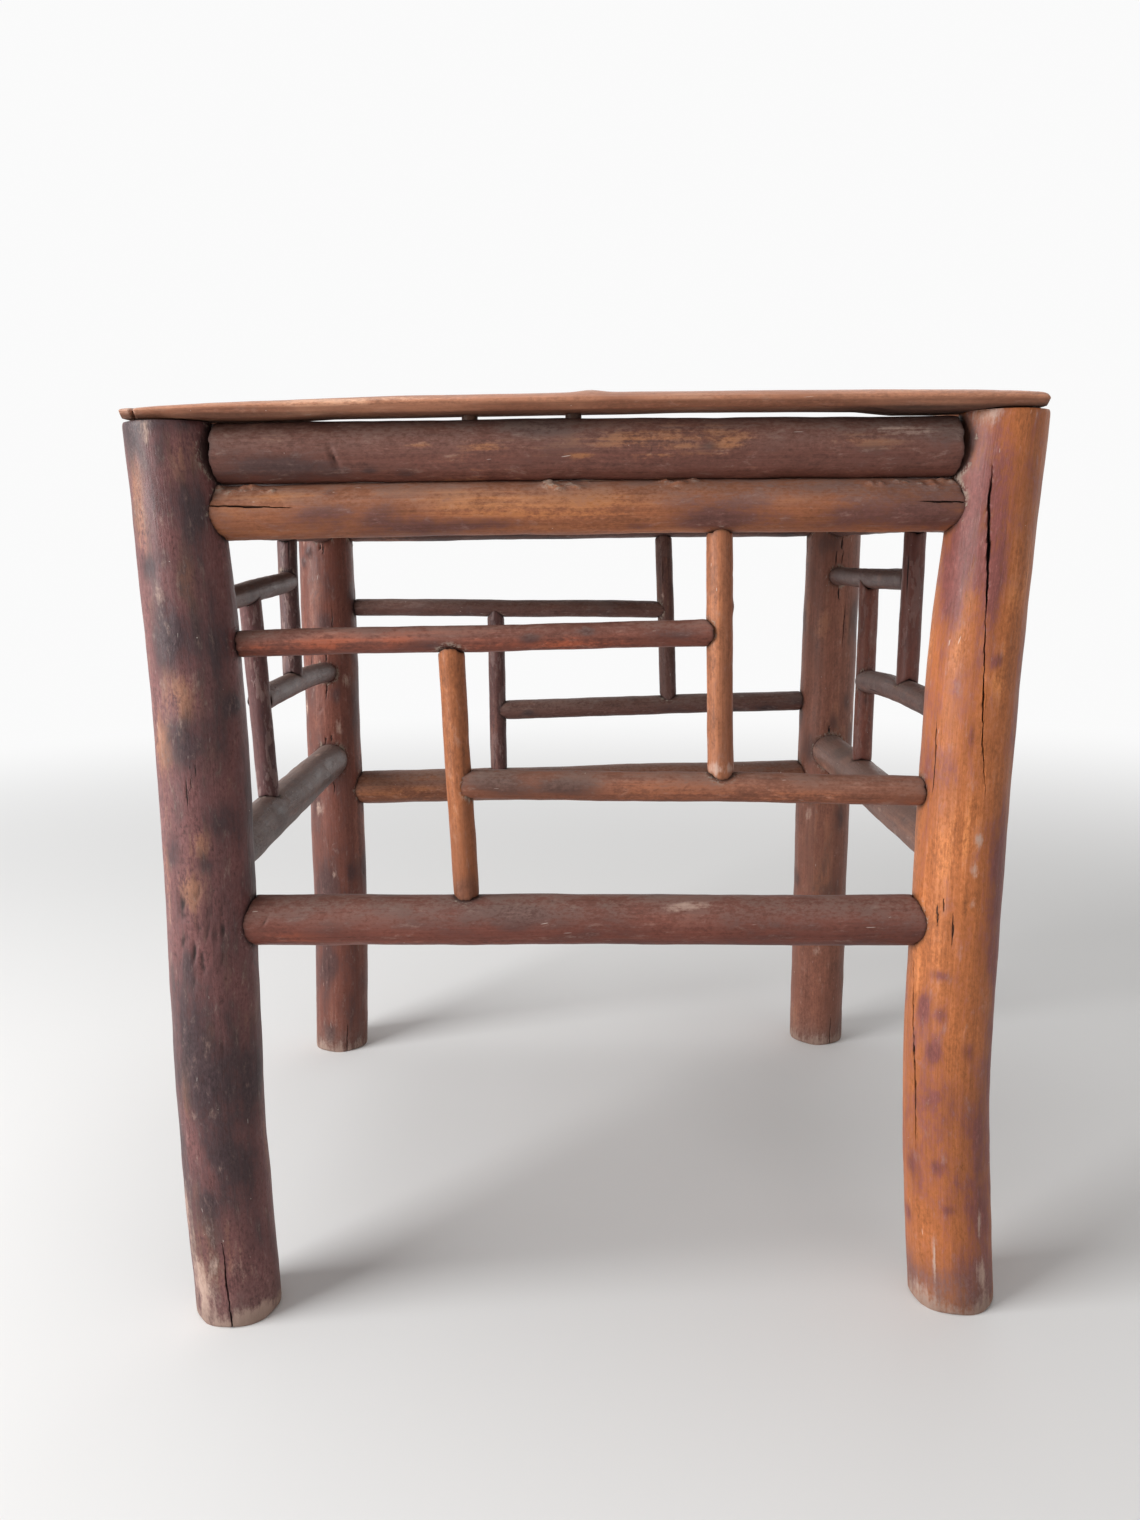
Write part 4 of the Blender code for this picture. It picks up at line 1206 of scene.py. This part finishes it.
# %% Mark the front lattice
mark_pole(
    "high_stick_front",
    stain=[(160, 0, 6, 3), (189, 25, 5, 3), (232, -5, 18, 5), (110, -20, 14, 3, 0.8)],
    warm=[(24, -15, 12, 3, 0.9), (58, -5, 20, 4), (95, 0, 9, 4), (175, -22, 40, 4)],
)
mark_pole(
    "low_stick_front",
    stain=[(20, 10, 14, 6), (52, 5, 14, 4, 0.9)],
    warm=[(90, 10, 25, 5, 0.6), (170, -20, 40, 4, 0.6)],
    pale=[(34, 20, 6, 3, 0.3)],
)
mark_pole(
    "standing_post_front",
    stain=[(9, 0, 7, 8, 0.8)],
    warm=[(75, -32, 45, 3, 0.8)],
)
mark_pole(
    "hanging_post_front",
    warm=[(62, -32, 40, 3, 0.8)],
    pale=[(11, 0, 4, 12, 0.45)],
)
poles["hanging_post_front"].features += [knot(93, 80, 3, 3, 0.6)]

# %% Pack crumbs between the rails and scatter gouges round the left joints
PACKED = ((8, 40, 16), (172, 192, 12), (230, 250, 5), (330, 372, 10))
PACKED_TURNS, CRUMB_SIZES = (46, 72), (1.2, 2.6)
GOUGES, GOUGED, GOUGE_TURNS, GOUGE_SLANT = 26, (196, 246), (-38, 40), 8.0

packing = np.random.default_rng(11)
for first, last, count in PACKED:
    for place, turn in zip(packing.uniform(first, last, count), packing.uniform(*PACKED_TURNS, count)):
        size = packing.uniform(*CRUMB_SIZES) * MM
        lump = Bump(place * MM, turn, size, size * 0.8, size * 0.5, "crumb", 1.0)
        poles["lower_rail_front"].features.append(lump)
chance = np.random.default_rng(7)
for place, turn in zip(chance.uniform(*GOUGED, GOUGES), chance.uniform(*GOUGE_TURNS, GOUGES)):
    length, depth = chance.uniform(2, 6), chance.uniform(0.2, 0.5)
    poles["leg_front_left"].features.append(dent(place, turn, length, 1.0, depth, GOUGE_SLANT))
print(sum(row[2] for row in PACKED), "crumbs and", GOUGES, "gouges")

# %% Mark the back legs, the feet and every side that the photograph can't show
ALL_ROUND = 1000.0
FEET = {
    "pale": (0, 0, 10.0, ALL_ROUND, 0.62),
    "dust": (0, 0, 18.0, ALL_ROUND, 0.7),
    "grime_and_shade": (0, 0, 14.0, ALL_ROUND, 0.42),
}
HIDDEN_FROM, HIDDEN_TO = 100.0, 255.0
KINDS_OF_MARK = (("stain", 0.9, 10.0, 6.0), ("warm", 0.9, 13.0, 5.0), ("pale", 0.5, 6.0, 3.0))
KIND_SHARES = (0.5, 0.35, 0.15)
AREA_PER_MARK, FEWEST_MARKS, THICK_POLE = 1.1e-3, 3, 0.015
HIDDEN_CRACK = 0.06

poles["leg_back_left"].features += [knot(413, -31, 4, 3.5, 1.2), knot(405, -45, 4, 3.5, 1.2)]
for node in ("leg_back_left", "leg_back_right"):
    poles[node].features.append(crack([(0, 20), (26, 22)], 0.8, 2.0, open_start=True))
    poles[node].features.append(crack([(330, 15), (372, 18)], 0.7, 1.4))
for node, pole in poles.items():
    length, deep = pole.length / MM, HIDDEN_CRACK * pole.radius / MM
    leg = pole.kind == "leg"
    if leg:
        pole.patches += [patch(mark, *row) for mark, row in FEET.items()]
    seen_from_front = node.endswith("_front") or node.startswith("leg_front")
    hidden = (HIDDEN_FROM, HIDDEN_TO) if seen_from_front else (-180.0, 180.0)
    area = pole.length * math.radians(hidden[1] - hidden[0]) * pole.radius
    for _ in range(max(FEWEST_MARKS, int(area / AREA_PER_MARK))):
        mark, strength, long, broad = KINDS_OF_MARK[chance.choice(3, p=KIND_SHARES)]
        place, turn = chance.uniform(0.02, 0.98) * length, chance.uniform(*hidden)
        size = chance.uniform(0.6, 1.5) * min(1.0, pole.radius / THICK_POLE)
        pole.patches.append(patch(mark, place, turn, long * size, broad * size, strength))
    for _ in range(4 if leg else 1):
        place, turn = chance.uniform(0.1, 0.75) * length, chance.uniform(*hidden)
        run = chance.uniform(20.0, 60.0)
        line = [(place, turn), (place + run, turn + chance.uniform(-6, 6))]
        pole.features.append(crack(line, 0.7, deep))
        place, turn = chance.uniform(0.1, 0.9) * length, chance.uniform(*hidden)
        pole.features.append(dent(place, turn, 4.0, 1.2, 0.5, chance.uniform(-60, 60)))
print(sum(len(pole.patches) for pole in poles.values()), "coloured areas in all")
print(sum(len(pole.features) for pole in poles.values()), "cracks, knots and dents in all")

# %% [markdown]
# ## Dressing the poles
# Every end is fitted to its carrier and closed with its shoulder and tenon; the shoulder and tenon of a
# rail or stick are painted dark as shade in the joint. Where a pole meets a carrier, dirt and crumbs have
# gathered and shade falls, so the carrier gets a seat round each joint, painted darker close in. Old
# tenons have also split the legs a little above and below. The leg tops are trimmed to lie close under the
# rim.

# %% Find the carriers and mark their joints
SPLIT_SHIFT, SPLIT_LEAN, SPLIT_LENGTHS = 7.0, 3.0, (4.0, 15.0)
SPLIT_GAP, SPLIT_SIZE = 0.5, (0.9, 1.4)


def split_round(carrier, spot, turn, radius):
    """Short cracks along the grain above and below a joint."""
    for upward in (-1.0, 1.0):
        for _ in range(2):
            edge = spot / MM + upward * (radius / MM + SPLIT_GAP)
            far_edge = edge + upward * chance.uniform(*SPLIT_LENGTHS)
            lean = turn + chance.uniform(-SPLIT_SHIFT, SPLIT_SHIFT)
            line = [(edge, lean), (far_edge, lean + chance.uniform(-SPLIT_LEAN, SPLIT_LEAN))]
            carrier.features.append(crack(line, *SPLIT_SIZE))


sticks = [node for node, pole in poles.items() if pole.kind != "leg"]
ends = {(node, at_end): carrier_of(poles[node], at_end) for node in sticks for at_end in (False, True)}
for (node, at_end), carrier in ends.items():
    pole = poles[node]
    away = -pole.along if at_end else pole.along
    turn = math.degrees(math.atan2(away @ carrier.turning, away @ carrier.facing))
    spot = float((pole.middle(tip_of(pole, at_end)) - carrier.first) @ carrier.along)
    carrier.patches.append(Seat(spot, turn, pole.radius))
    if carrier.kind == "leg" and not node.endswith("_front"):
        split_round(carrier, spot, turn, pole.radius)
print(len(ends), "ends; the front high stick sits on", ends["high_stick_front", True].node)

# %% Fit, close and hand over the poles
LEG_TRIM = {"left": 0.0035, "right": 0.0024}
LEG_CAP = [(0.94, None), (0.7, None), (0.35, None)]


def stick_end(pole, at_end):
    """The fitted rim of a rail's or stick's end, and the rings of its tenon's root and tip."""
    carrier = ends[pole.node, at_end]
    rim = fit_end(pole, carrier, at_end, 1.0, SQUARE_CUT.get((pole.node, at_end), 0.0))
    root = fit_end(pole, carrier, at_end, TENON_SHARE)
    tip = np.full(pole.sides, tip_of(pole, at_end))
    return rim, [(TENON_SHARE, root), (TENON_SHARE * TENON_TIP, tip)]


for node, pole in poles.items():
    if pole.kind == "leg":
        top = pole.length - LEG_TRIM[node.split("_")[-1]]
        fitted = [(np.full(pole.sides, height), LEG_CAP) for height in (0.0, top)]
    else:
        fitted = [stick_end(pole, at_end) for at_end in (False, True)]
    (low, high), caps = zip(*fitted)
    hand_over(dress(pole, wood_of(node, pole.kind), low, high, caps), node)
print("dressed", len(poles), "poles")

# %% [markdown]
# ## Rim of split poles
# Four slabs, split from thicker poles, lie across the leg tops. From the front each shows a rounded,
# lighter upper band, a ridge, a darker undercut and a belly that hangs between the legs; undercut and
# belly are painted darker as shade. The pole tree gives their uneven surface; the round section is then
# laid out as the slab's section, whose height follows the CAD. The two long slabs run out thin at one
# end, which has a small split, and are blunt at the other.

# %% Measure the rim strips
LONG = ("front", "back")
FORWARD = {"front": 1, "back": -1, "left": -1, "right": 1}
OUTWARD = {"front": -1, "back": 1, "left": -1, "right": 1}
RING_CORNERS, ON_STRIP_RING = 8, 2e-4


def measure_strip(side):
    """A strip's straight pole, its half width, and the crest's height over places along the strip."""
    found = corners("rim_strip_" + side)
    low, high = found.min(0), found.max(0)
    run, cross = (0, 1) if side in LONG else (1, 0)
    values, counts = np.unique(found[:, run].round(4), return_counts=True)
    rings = values[counts >= RING_CORNERS]
    crest = [found[abs(found[:, run] - v) < ON_STRIP_RING][:, 2].max() - low[2] for v in rings]
    half = (high[cross] - low[cross]) / 2
    points = np.array([(low + high) / 2] * 2)
    points[:, run] = (low[run], high[run])[::FORWARD[side]]
    points[:, 2] = low[2]
    out = np.zeros(3)
    out[cross] = OUTWARD[side]
    strip = Pole("rim_strip_" + side, "strip", points, np.full(2, half / SLIM), out, UP)
    return strip, half, points[0, run], high[run], rings, crest

# %% Lay out the section of a rim strip
STRIP_RIDGE, RIDGE_FROM, STRIP_UNDERCUT = 0.42, 0.0020, 0.30
BACK_POWER, UNDER_POWER = 0.8, 1.3


def ridge_of(thick):
    return STRIP_RIDGE * (thick - RIDGE_FROM)


def strip_section(turn, outer, inner, thick, belly):
    """Points round a slab, across and up: a rounded back above, an undercut and a belly below."""
    u, ridge = np.cos(turn), ridge_of(thick)
    back = ridge + (thick - ridge) * np.clip(np.sin(turn), 0, 1) ** BACK_POWER
    under = 1.0 - (1.0 - np.clip((1.0 - abs(u)) / STRIP_UNDERCUT, 0, 1)) ** UNDER_POWER
    v = np.where(turn < np.pi, back, ridge - (ridge + belly) * under)
    return (outer + inner) / 2 + (outer - inner) / 2 * u, v

# %% Shape the rim strips
STRIP_CROWD, STRIP_SLACK, SMOOTHINGS, STRIP_UNEVEN = 0.7, 0.0004, 6, 0.7
BELLY_AT = (-1.0, -0.85, -0.73, -0.63, -0.55, -0.40, 0.0, 0.22, 0.44, 0.58, 0.66, 0.75, 0.80, 0.86, 1.0)
BELLY_MM = (2.8, 3.4, 3.7, 3.5, 2.6, 2.2, 1.6, 1.2, 1.4, 1.8, 3.6, 3.7, 3.4, 2.3, 2.1)
TIP_SHORT, TIP_TAPER, TIP_CUT = 0.0050, 0.050, 0.35
BLUNT_CUT, BLUNT_ROUND, BLUNT_NARROW, BLUNT_INSIDE, BLUNT_THIN = 0.0090, 0.004, 0.12, 0.3, 0.2
TIP_SPLIT, SPLIT_WIDTH, SPLIT_DEPTH = 0.0062, 0.0007, 0.26
STRIP_KNOT, KNOT_LENGTH, KNOT_PLACE, KNOT_POWER = 0.0011, 0.0065, 0.2241, 1.5
# Painted shade on the undercut, stronger towards the ends of each strip.
UNDERCUT_SHADE_AT, UNDERCUT_SHADE = (-1.0, -0.6, 0.4, 0.62, 1.0), (0.12, 0.0, 0.0, 0.30, 0.34)
UNDERCUT_SHADE_ABOVE, UNDERCUT_SHADE_FADE = 0.0012, 0.0016
BAND_FADE, BELLY_SHADE = 0.001, 0.0012


def rim_strip(side):
    """A strip, its vertices in rings, where they lie in the wood, and their marks."""
    strip, half, start, reach, rings, crest = measure_strip(side)
    long_one = side in LONG
    length = strip.length - (TIP_SHORT + BLUNT_CUT) * long_one
    s = crowded(strip.stations, STRIP_CROWD) * length
    spot = start + (s + TIP_SHORT * long_one) * FORWARD[side]
    thick = np.interp(spot, rings, crest) - STRIP_SLACK
    for _ in range(SMOOTHINGS):
        thick[1:-1] = (thick[:-2] + 2 * thick[1:-1] + thick[2:]) / 4
    tip = np.clip(1.0 - s / TIP_TAPER, 0, 1) ** 2 * long_one
    blunt = np.clip(1.0 - (length - s) / BLUNT_ROUND, 0, 1) ** 3 * long_one
    outer = half * (1.0 - TIP_CUT * tip - BLUNT_NARROW * blunt)
    inner = -half * (1.0 - BLUNT_INSIDE * BLUNT_NARROW * blunt)
    belly = np.interp(spot / reach, BELLY_AT, BELLY_MM) * MM
    split = bell(s - TIP_SPLIT, SPLIT_WIDTH) * long_one
    bulge = bell(s - KNOT_PLACE, KNOT_LENGTH) * (side == "front")
    thick = thick * (1.0 - BLUNT_THIN * blunt)

    turn = 2 * np.pi * np.arange(strip.sides) / strip.sides
    facing, upper = np.clip(np.cos(turn), 0, 1), np.clip(np.sin(turn), 0, 1)
    wood = []
    for i in range(strip.stations):
        u, v = strip_section(turn, outer[i], inner[i], thick[i], belly[i])
        du, dv = np.roll(u, -1) - np.roll(u, 1), np.roll(v, -1) - np.roll(v, 1)
        lift = ((strip.table[i] - half) * STRIP_UNEVEN - STRIP_SLACK) / (np.hypot(du, dv) + 1e-9)
        notch = SPLIT_DEPTH * split[i]
        u = u + dv * lift - notch * facing * (outer[i] - inner[i]) / 2
        v = v - du * lift + STRIP_KNOT * bulge[i] * upper**KNOT_POWER - notch * upper * thick[i]
        wood.append(np.stack([u, np.maximum(v, -belly[i]), np.full(strip.sides, s[i])], 1))
    wood = np.array(wood)
    shift = strip.first + strip.along * (TIP_SHORT * long_one)
    places = shift + wood @ np.stack([strip.facing, strip.turning, strip.along])

    height, ridge = wood[:, :, 1], ridge_of(thick)[:, None]
    undercut_shade = np.interp(spot / reach, UNDERCUT_SHADE_AT, UNDERCUT_SHADE)[:, None]
    # The undercut below the ridge and the belly are painted darker as shade, and the tip's split is painted
    # dark inside.
    marks = {
        "stain": 0.75 * np.clip((ridge - height) / BAND_FADE, 0, 1),
        "pale": 0.6 * bulge[:, None] * upper + 0.5 * tip[:, None],
        "crack": 0.5 * split[:, None] * facing,
        "grime_and_shade": 0.5 * np.clip(-height / BELLY_SHADE - 0.3, 0, 1),
    }
    marks["grime_and_shade"] = marks["grime_and_shade"] + undercut_shade * np.clip((ridge + UNDERCUT_SHADE_ABOVE - height) / UNDERCUT_SHADE_FADE, 0, 1)
    return strip, places, wood, marks

# %% Close and hand over the rim strips
STRIP_CAP, STRIP_CUT = (0.85, 0.4), 0.8


def strip_mesh(side):
    strip, places, wood, marks = rim_strip(side)
    rings = ring_faces(strip.stations, strip.sides)
    strip_trees.append(BVHTree.FromPolygons(places.reshape(-1, 3).tolist(), rings.tolist()))
    edge = strip.stations * strip.sides
    all_places, all_wood = [places.reshape(-1, 3)], [wood.reshape(-1, 3)]
    for row in (0, -1):
        core = places[row].mean(0)
        for size in STRIP_CAP:
            all_places.append(core + (places[row] - core) * size)
            all_wood.append(wood[row] * (size, size, 1.0))
        all_places.append(core[None])
        all_wood.append(wood[row].mean(0)[None])
    all_places = np.concatenate(all_places)
    fields = no_marks(len(all_places))
    for key, values in marks.items():
        fields[key][:edge] = np.clip(values, 0, 1).ravel()
    fields["cut"][edge:] = STRIP_CUT
    fields["grain"] = np.concatenate(all_wood) + strip.seed
    faces = closed_faces(strip.stations, strip.sides, len(STRIP_CAP))
    hand_over(piece_mesh(strip.node, all_places, faces, wood_of(strip.node, "strip"), fields), strip.node)


strip_trees = []
for side in SIDES:
    strip_mesh(side)
print(len(strip_trees), "rim strips")

# %% [markdown]
# ## Top boards
# Four planks lie in the rebates of the upper rails. A second, short tree makes a plank: a box with
# many faces whose surface cups and waves a little. Its ends are then drawn out to the CAD
# outline, which is notched round the legs.

# %% Build the plank tree
PLANK_INPUTS = (
    ("Size", "Vector"), ("Across", "Int"), ("Along", "Int"), ("Wave", "Float"), ("Seed", "Vector"),
    ("Material", "Material"),
)
PLANK_LAYERS, WAVE_SCALE = 5, (5.0, 60.0, 0.0)


def build_plank_tree():
    tree = new_tree("plank", PLANK_INPUTS)
    bench = Bench(tree)
    given = bench.add("NodeGroupInput", {}, {})
    sockets = {"Size": given.out("Size"), "Vertices X": given.out("Along"), "Vertices Y": given.out("Across")}
    box = bench.add("GeometryNodeMeshCube", {}, {**sockets, "Vertices Z": PLANK_LAYERS})
    place = bench.add("GeometryNodeInputPosition", {}, {})
    seeded = bench.vector("ADD", place, given.out("Seed"))
    wave = bench.noise(seeded, WAVE_SCALE).sway(given.out("Wave"))
    lift = bench.add("ShaderNodeCombineXYZ", {}, {"Z": wave})
    waved = bench.add("GeometryNodeSetPosition", {}, {"Geometry": box, "Offset": lift})
    close_tree(bench, waved, given.out("Material"))
    return tree


plank_tree = build_plank_tree()
print("plank tree with", len(plank_tree.nodes), "nodes")

# %% Make the planks
PLANKS = 4
PLANK_SEED = np.array((3.1, 1.7, 0.9))
PLANK_GRID = {"Across": 60, "Along": 150, "Wave": 0.0012}
OUTLINE_ROWS, INSIDE = 240, 1e-5
BOARD_WORN, BOARD_REACH, BOARD_SLACK, SHARP_BOARD = 0.0007, 0.0008, 0.0003, 40
SIDE_DARKENING, END_SHADE, AT_END = 0.0012, 0.006, 1e-4
BOARD_DUST, BOARD_CUT = 0.4, 0.8


def box_of(node):
    return (np.array(corner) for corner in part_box(node))


def board_ends(node, rows, level, half):
    """Where the CAD outline of a board ends on the left and on the right, row by row."""
    mesh = frame["nodes"][node].data
    faces = [list(face.vertices) for face in mesh.polygons]
    outline = BVHTree.FromPolygons([v.co.copy() for v in mesh.vertices], faces)
    for sign in (-1.0, 1.0):
        hits = [outline.ray_cast(Vector((0.0, y, level)), Vector((sign, 0.0, 0.0)), 1.0)[0] for y in rows]
        yield np.array([hit.x if hit else sign * half for hit in hits])


def plank(number):
    node = "top_board_" + str(number)
    low, high = box_of(node)
    size, middle, seed = high - low, (low + high) / 2, number * PLANK_SEED
    start = bpy.data.objects.new(node + "_plank", bpy.data.meshes.new(node + "_plank"))
    values = {"Size": size.tolist(), "Seed": seed.tolist(), "Material": wood_of(node, "board"), **PLANK_GRID}
    mesh = bake(start, plank_tree, values)
    mesh.materials.pop(index=0)
    local = places_of(mesh)
    share, across = (np.clip(local[:, k] / size[k] + 0.5, 0, 1) for k in (0, 1))
    y = low[1] + across * size[1]
    rows = np.linspace(low[1] + INSIDE, high[1] - INSIDE, OUTLINE_ROWS)
    outline = board_ends(node, rows, float(middle[2]), size[0] / 2)
    first, last = (np.interp(y, rows, found) for found in outline)
    x = first + share * (last - first)
    rise = local[:, 2] / (size[2] / 2)
    side_gap, end_gap = np.minimum(y - low[1], high[1] - y), np.minimum(x - first, last - x)
    worn = BOARD_WORN * np.exp(-side_gap / BOARD_REACH) * np.clip(abs(rise) - 0.5, 0, 1) * 2
    z = np.clip(middle[2] + local[:, 2] - np.sign(rise) * (worn + BOARD_SLACK), low[2], high[2])
    mesh.vertices.foreach_set("co", np.stack([x, y, z], 1).astype(np.float32).ravel())
    fields = no_marks(len(local))
    # Darker along the plank sides, and painted shade towards the ends.
    fields["grime_and_shade"] = 0.7 * np.exp(-side_gap / SIDE_DARKENING) + 0.5 * np.exp(-end_gap / END_SHADE)
    fields["dust"] = np.where(rise > 0.5, BOARD_DUST, 0.0)
    fields["cut"] = np.where(np.minimum(share, 1 - share) < AT_END, BOARD_CUT, 0.0)
    fields["grain"] = np.stack([y, z, x], 1) + seed
    store(mesh, fields)
    mesh.update()
    smooth_shaded(mesh, SHARP_BOARD)
    hand_over(mesh, node)


for number in range(1, PLANKS + 1):
    plank(number)
print(PLANKS, "planks")

# %% [markdown]
# ## Braces and pegs
# Two half-round battens hold the boards together from below. They are grown like the poles, cut flat
# on top and fitted to the rails. The pegs are short, hard pins that stand just proud of the rim.

# %% Make the braces
BRACE_CAP = [(0.5, None), (0.2, None)]

for side in ("left", "right"):
    node = "board_brace_" + side
    low, high = box_of(node)
    points, _ = straight_axis(node)
    points[:, 2] = high[2]
    brace = Pole(node, "brace", points, np.full(2, (high[0] - low[0]) / 2), RIGHT, UP)
    rails = ((False, poles["upper_rail_front"]), (True, poles["upper_rail_back"]))
    fits = [fit_end(brace, rail, at_end) for at_end, rail in rails]
    mesh = dress(brace, wood_of(node, "brace"), *fits, [BRACE_CAP, BRACE_CAP])
    for vertex in mesh.vertices:
        vertex.co.z = min(vertex.co.z, high[2])
    hand_over(mesh, node)
print("2 braces")

# %% Make the pegs
PEG_PROUD = 0.0002
PEG_FOOT, PEG_HEAD = 0.0002, 0.0003
DOWN = Vector((0.0, 0.0, -1.0))

pegs = [node for node in slots if "_peg_" in node]
for node in pegs:
    low, high = box_of(node)
    x, y = ((low + high) / 2)[:2]
    drops = [tree.ray_cast(Vector((x, y, 1.0)), DOWN, 1.0)[0] for tree in strip_trees]
    top = max(drop.z for drop in drops if drop) + PEG_PROUD
    points = np.array([(x, y, low[2]), (x, y, top)])
    peg = Pole(node, "peg", points, np.full(2, (high[0] - low[0]) / 2), FRONT, RIGHT)
    foot, head = np.zeros(peg.sides), np.full(peg.sides, peg.length)
    caps = [[(0.8, foot), (0.4, foot)], [(0.85, head), (0.4, head)]]
    hand_over(dress(peg, wood_of(node, "peg"), foot + PEG_FOOT, head - PEG_HEAD, caps), node)
print(len(pegs), "pegs")
